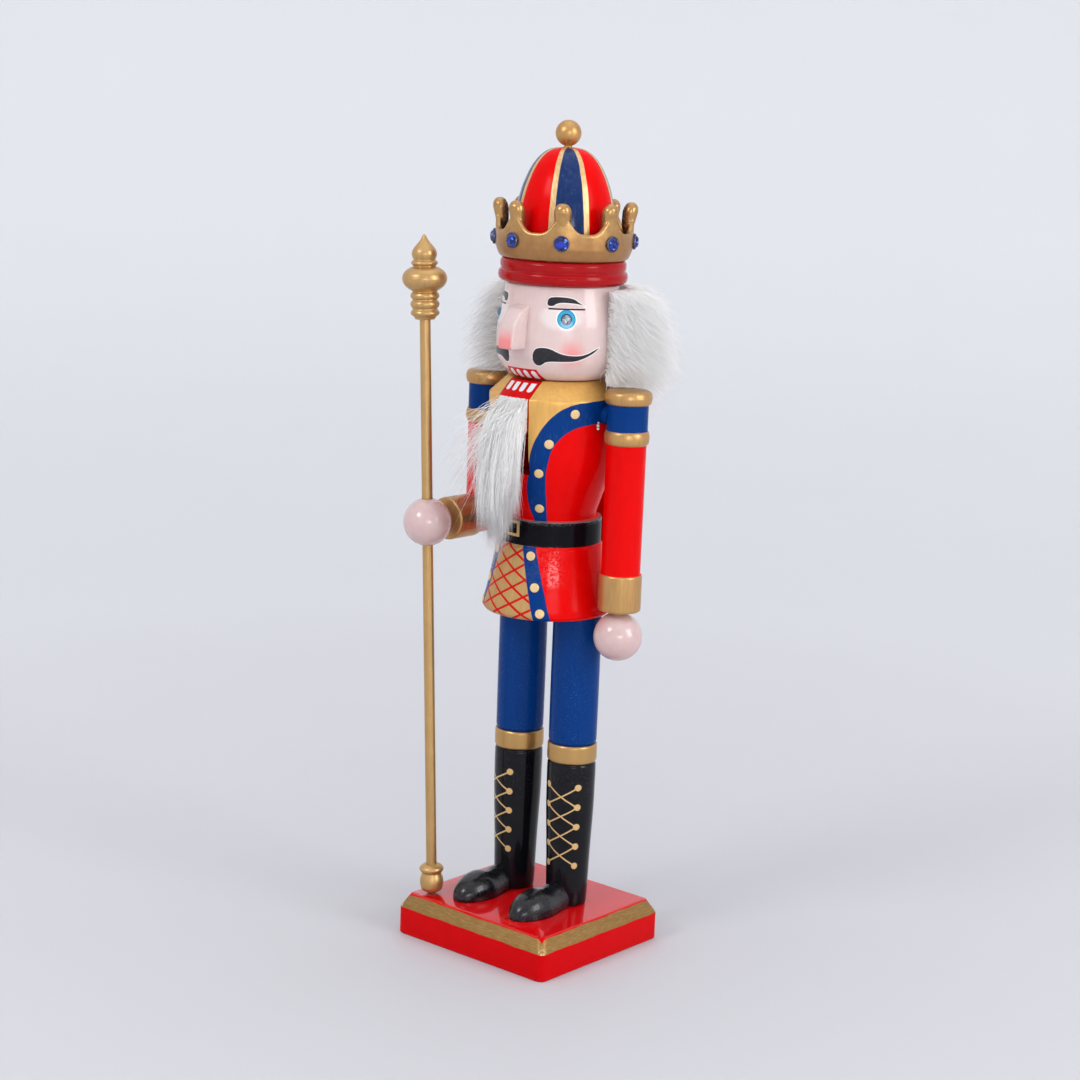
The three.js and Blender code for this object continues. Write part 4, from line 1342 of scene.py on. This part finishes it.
def torso_surface(heights, gap):
    """Radius of the body at each height, and a gap more."""
    sides = TORSO_OUTLINE[1:-1]
    return np.interp(heights, [z for r, z in sides], [r for r, z in sides]) + gap


def clear_of_body(points):
    """Keeps points off the body and head, under the hat, over the shoulders and over the open handle."""
    points = points.copy()
    z = points[:, 2]
    pushed_out(points, TORSO_AXIS, torso_surface(z, 0.7), z < CHEST_TOP)
    pushed_out(points, HEAD_AXIS, np.full(len(points), SKULL_RADIUS), (z >= CHEST_TOP) & (z < 308))
    from_axis = np.hypot(points[:, 0], points[:, 1] - HEAD_AXIS.y)
    points[:, 2] = np.minimum(points[:, 2], HAIR_ROOTS[1] + 0.6 + np.maximum(from_axis - 31.5, 0) * 0.45)
    for sign in (1, -1):
        over_shoulder = np.hypot(points[:, 0] - sign * ARM_AXIS.x, points[:, 1] - ARM_AXIS.y) < 11.4
        lifted = np.maximum(points[:, 2], 264.7)
        points[:, 2] = np.where(over_shoulder & (points[:, 2] > 250), lifted, points[:, 2])
    over_handle = (np.abs(points[:, 0]) < 12) & (points[:, 1] > 20)
    handle_top = np.interp(points[:, 1], *OPEN_HANDLE)
    points[:, 2] = np.where(over_handle, np.maximum(points[:, 2], handle_top), points[:, 2])
    return points


def fur_material():
    paint = Paint("white_fur", (0.985, 0.98, 0.965), 0.5)
    tuft = paint.noise(5, 3, seed=81)
    strand = paint.noise(0.5, 2, (1, 1, 0.2), seed=82)
    paint.shade(tuft * 0.03 + strand * 0.04)
    paint.coat(tuft.above(0.08, 0.3) * 0.25, (0.93, 0.915, 0.87))
    paint.roughness = paint.roughness + strand * 0.2
    paint.shader.inputs["Sheen Weight"].default_value = 0.8
    return paint.done()


def hair_roots(azimuths, heights):
    """Roots on the head, with the directions straight out and round towards the back at each."""
    turn = np.radians(azimuths)
    radial = np.stack([np.sin(turn), -np.cos(turn), np.zeros(len(turn))], axis=1)
    back = np.stack([np.cos(turn), np.sin(turn), np.zeros(len(turn))], axis=1)
    back *= np.where(azimuths > 0, 1, -1)[:, None]
    roots = radial * SKULL_RADIUS + np.array([HEAD_AXIS.x, HEAD_AXIS.y, 0])
    roots[:, 2] = heights
    return roots, radial, back


def hair(name, start, end, seed, material):
    """Part of the hair, with roots between two azimuths. It stands out, then falls and splays."""
    rng = np.random.default_rng(seed)
    count, tufts = HAIRS_IN_PART, 170
    azimuths = rng.uniform(start, end, count)
    signed = np.where(azimuths > 180, azimuths - 360, azimuths)
    from_line = np.clip((np.abs(signed) - HAIRLINE) / 22, 0, 1)
    heights = rng.uniform(*HAIR_ROOTS, count)
    roots, radial, back = hair_roots(signed, heights)
    down = np.array([0, 0, -1.0])
    tuft = rng.normal(size=(tufts, 3))[rng.integers(0, tufts, count)]
    loose = rng.normal(size=(count, 3))
    sweep = np.where(signed > 0, 0.16 - 0.11 * from_line, -0.10)
    sweep = sweep + rng.normal(0, 1, count) * (0.10 + 0.14 * (1 - from_line))
    # The lowest hairs leave the head pointing down.
    hem = np.clip((274 - heights) / 5, 0, 1)[:, None]
    starts = radial * (0.95 - 0.50 * hem) + back * sweep[:, None] + down * (0.85 * hem - 0.05)
    starts = starts + tuft * 0.13 + loose * 0.17
    starts[:, 2] -= np.clip((heights - 298) / 9, 0, 1) * 0.15
    splay = np.interp(heights, [267, 273, 290, 307], [0.55, 0.90, 0.68, 0.50])
    ends = radial * splay[:, None] + down * 0.90 + tuft * 0.14 + loose * 0.13
    ends = ends + back * np.where(signed > 0, 0.08, -0.12)[:, None]
    lengths = rng.uniform(0.60, 1.0, count) * np.interp(heights, [267, 280, 294, 307], [28, 35, 31, 26])
    # Shorter beside the face, over the shoulders and at the nape.
    shortest = np.where(signed > 0, 0.40, 0.90)
    lengths = lengths * (shortest + (1 - shortest) * from_line)
    lengths = np.where((hem[:, 0] > 0.4) & (signed > 0), np.minimum(lengths, 6 + 20 * from_line), lengths)
    lengths = lengths * np.interp(np.abs(signed), [125, 150], [1.0, 0.74])
    at_nape = np.abs(signed) > 155
    lengths = np.where(at_nape, np.minimum(lengths, np.maximum(heights - 252, 18)), lengths)
    path = grown(roots, unit(starts), unit(ends), lengths, clear_of_body, rng)
    obj = hairs(name, path, rng.uniform(0.06, 0.11, count), seed)
    obj.data.materials.append(material)
    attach(obj, FIGURE)


def undercoat(material):
    """The felted hide that the hairs grow from, close round the head."""
    rng = np.random.default_rng(17)
    steps, rows = 60, 16
    start = HAIRLINE + 8
    rings = []
    for i in range(steps + 1):
        azimuth = start + (360 - 2 * start) * i / steps
        edge = min(1.0, min(i, steps - i) / 9)
        ring = [tuple(around(HEAD_AXIS, azimuth, 29.05, z)) for z in (268.5, 306.5)]
        for k in range(rows + 1):
            z = 306.5 - 38 * k / rows
            swell = math.sin(math.pi * min(1, (k + 1.5) / rows) * 0.9) ** 0.5
            bulge = 29.35 + edge * (1.0 + 4.0 * swell + rng.uniform(-0.5, 0.5))
            ring.append(tuple(around(HEAD_AXIS, azimuth, bulge, z)))
        rings.append(ring)
    obj = skinned("hair_undercoat", rings, smooth=60)
    finish_piece(obj, ["hair"], material)


BEARD = {"strands": 8600, "locks": 70, "seed": 23, "root_z": (244.5, 258.5), "root_width": 7.6,
         "root_radius": 29.9, "length": 77, "lowest": 180.5, "wild_share": 0.035}


def beard(material):
    """Long hair hung from the jaw below the teeth, in locks."""
    rng = np.random.default_rng(BEARD["seed"])
    count, locks = BEARD["strands"], BEARD["locks"]
    lock = rng.integers(0, locks, count)
    # Each lock's place across the beard, from -1 to 1, and its layer, from 0 at the back to 1 in front.
    lock_u = np.linspace(-1, 1, locks)
    rng.shuffle(lock_u)
    lock_v = rng.uniform(0, 1, locks)
    lock_drop = (BEARD["length"] - 21 * np.abs(lock_u) ** 1.6
                 - rng.uniform(0, 24, locks) * (0.4 + 0.6 * lock_v))
    lock_tip = np.stack([-3.2 + lock_u * 10.4 + rng.normal(0, 1.2, locks),
                         -26.5 - lock_v * 7 + rng.normal(0, 0.8, locks),
                         257 - lock_drop], axis=1)
    u = np.clip(lock_u[lock] + rng.normal(0, 0.10, count), -1.1, 1.1)
    root_z = rng.uniform(*BEARD["root_z"], count)
    root_x = u * BEARD["root_width"]
    root_y = TORSO_AXIS.y - np.sqrt(BEARD["root_radius"] ** 2 - root_x ** 2)
    roots = np.stack([root_x, root_y, root_z], axis=1)
    short = rng.uniform(0.45, 1.0, count) ** 0.6
    tips = roots + (lock_tip[lock] + rng.normal(0, 1.1, (count, 3)) - roots) * short[:, None]
    # A few wisps fly off to the figure's right and up.
    wild = rng.uniform(0, 1, count) < BEARD["wild_share"]
    fly = np.stack([-rng.uniform(6, 28, count), -rng.uniform(0, 6, count), rng.uniform(4, 26, count)], axis=1)
    tips[wild] += fly[wild]
    tips[:, 2] = np.maximum(tips[:, 2], BEARD["lowest"])
    # Each strand bows forwards on its way down, and the front locks bow the most.
    swing = rng.normal(0, 0.8, (count, 3)) + rng.normal(0, 0.9, (locks, 3))[lock]
    swing[:, 1] -= 3.0 + 2.5 * lock_v[lock]
    points = [roots]
    for i in range(1, 5):
        t = i / 4
        p = roots * (1 - t) + tips * t + swing * math.sin(math.pi * t ** 0.75)
        points.append(pushed_out(p, TORSO_AXIS, torso_surface(p[:, 2], 0.8), np.full(count, True)))
    obj = hairs("beard_fur", np.stack(points, axis=1), rng.uniform(0.07, 0.12, count), BEARD["seed"])
    obj.data.materials.append(material)
    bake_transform(obj)
    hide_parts("beard")


# ---- Studio ----
TENT_OUTLINE = [(0, 0), (300, 0), (800, 0), (1200, 0), (1700, 60), (2200, 260), (2600, 620), (2850, 1080),
                (2960, 1600), (3000, 2500)]
MID_FIGURE = Vector((0, 0, 200))
# Each light's name, its place, its width and height, and its power. All face the middle of the figure.
LIGHTS = [
    ("key", (-300, -1500, 1300), (560, 460), 9), ("fill", (1750, 250, 900), (700, 1000), 13),
    ("window", (1816, -1524, 575), (900, 420), 9), ("top", (0, 200, 1900), (1400, 1400), 3),
]
# Where the photograph was taken from. Angles are in degrees, and the rest in millimetres.
CAMERA = {"azimuth": 40.5, "tilt": 11.4, "roll": 2.2, "distance": 1097.5, "across": -1.2, "height": 190.4,
          "lens": 80, "sensor": 36}


def tent():
    """A pale floor that sweeps up into a round wall."""
    sides = 96
    outline = soften(TENT_OUTLINE, 400, 5)
    verts = [(0, 0, 0)]
    for r, z in outline[1:]:
        verts += [(r * math.sin(2 * math.pi * k / sides), -r * math.cos(2 * math.pi * k / sides), z)
                  for k in range(sides)]
    faces = [(0, 1 + k, 1 + (k + 1) % sides) for k in range(sides)]
    for ring in range(len(outline) - 2):
        a, b = 1 + ring * sides, 1 + (ring + 1) * sides
        faces += [(a + k, b + k, b + (k + 1) % sides, a + (k + 1) % sides) for k in range(sides)]
    obj = new_object("studio_floor", verts, faces, smooth=80)
    paint = Paint("backdrop", (0.50, 0.49, 0.51), 0.6, specular=0.2)
    x, y, z = paint.xyz()
    # The floor is painted darker round the figure, a painted shade, and paler with distance, in two steps
    # that fade into one another.
    paint.coat(x.hypot(y).between(250, 9000, 900), (0.63, 0.63, 0.65))
    paint.coat(x.hypot(y).between(1300, 9000, 1500), (0.79, 0.79, 0.80))
    paint.shade(paint.noise(180, 2, seed=90) * 0.02)
    obj.data.materials.append(paint.done())


def softbox(name, place, size, power):
    light = bpy.data.lights.new(name, "AREA")
    light.shape = "RECTANGLE"
    light.size, light.size_y = (s * MM for s in size)
    light.energy = power
    obj = bpy.data.objects.new(name, light)
    bpy.context.scene.collection.objects.link(obj)
    obj.location = Vector(place) * MM
    obj.rotation_mode = "QUATERNION"
    obj.rotation_quaternion = (Vector(place) - MID_FIGURE).to_track_quat("Z", "Y")


def studio():
    """A light tent, as for a product photograph."""
    tent()
    world = bpy.data.worlds.new("studio")
    bpy.context.scene.world = world
    world.use_nodes = True
    world.node_tree.nodes["Background"].inputs["Color"].default_value = (0.90, 0.92, 0.98, 1)
    world.node_tree.nodes["Background"].inputs["Strength"].default_value = 1.05
    for light in LIGHTS:
        softbox(*light)
    # White fur only looks white after many bounces.
    bpy.context.scene.cycles.max_bounces = 20
    bpy.context.scene.cycles.diffuse_bounces = 16
    view = bpy.context.scene.view_settings
    view.view_transform = "Standard"
    view.look = "None"


def camera():
    """The camera that took the photograph, as nearly as the figure's outline tells."""
    azimuth, tilt, roll = (math.radians(CAMERA[angle]) for angle in ("azimuth", "tilt", "roll"))
    back = Vector((math.sin(azimuth) * math.cos(tilt), -math.cos(azimuth) * math.cos(tilt), math.sin(tilt)))
    right = Vector((math.cos(azimuth), math.sin(azimuth), 0))
    up = back.cross(right)
    place = back * CAMERA["distance"] + right * CAMERA["across"] + UP * CAMERA["height"]
    data = bpy.data.cameras.new("camera")
    data.sensor_width, data.lens = CAMERA["sensor"], CAMERA["lens"]
    data.clip_start, data.clip_end = 0.05, 20
    obj = bpy.data.objects.new("camera", data)
    bpy.context.scene.collection.objects.link(obj)
    x_axis = right * math.cos(roll) + up * math.sin(roll)
    y_axis = -right * math.sin(roll) + up * math.cos(roll)
    turn = Matrix((x_axis, y_axis, back)).transposed().to_4x4()
    obj.matrix_world = Matrix.Translation(place * MM) @ turn
    bpy.context.scene.camera = obj


# ---- Build ----
base_block()
# Each leg's side, the azimuth that its laces face, and half of the angle that they cover.
for side, sign, facing, half_angle in (("left", 1, 17.5, 40.5), ("right", -1, -23, 44)):
    leg(side, sign, facing, half_angle)
    shoe(side, sign)
for build in (torso, buttons, shoulder_rings, glue_bead, head, nose, eye_stones, hat, hat_ball, crown, gems,
              arms, hands, staff, jaw_lever, hardware):
    build()

fur = fur_material()
undercoat(fur)
# Three parts of the hair, each between two azimuths.
for name, start, end, seed in (("left", HAIRLINE, 150, 31), ("back", 150, 210, 32),
                               ("right", 210, 360 - HAIRLINE, 33)):
    hair(f"hair_{name}", start, end, seed, fur)
beard(fur)

studio()
camera()
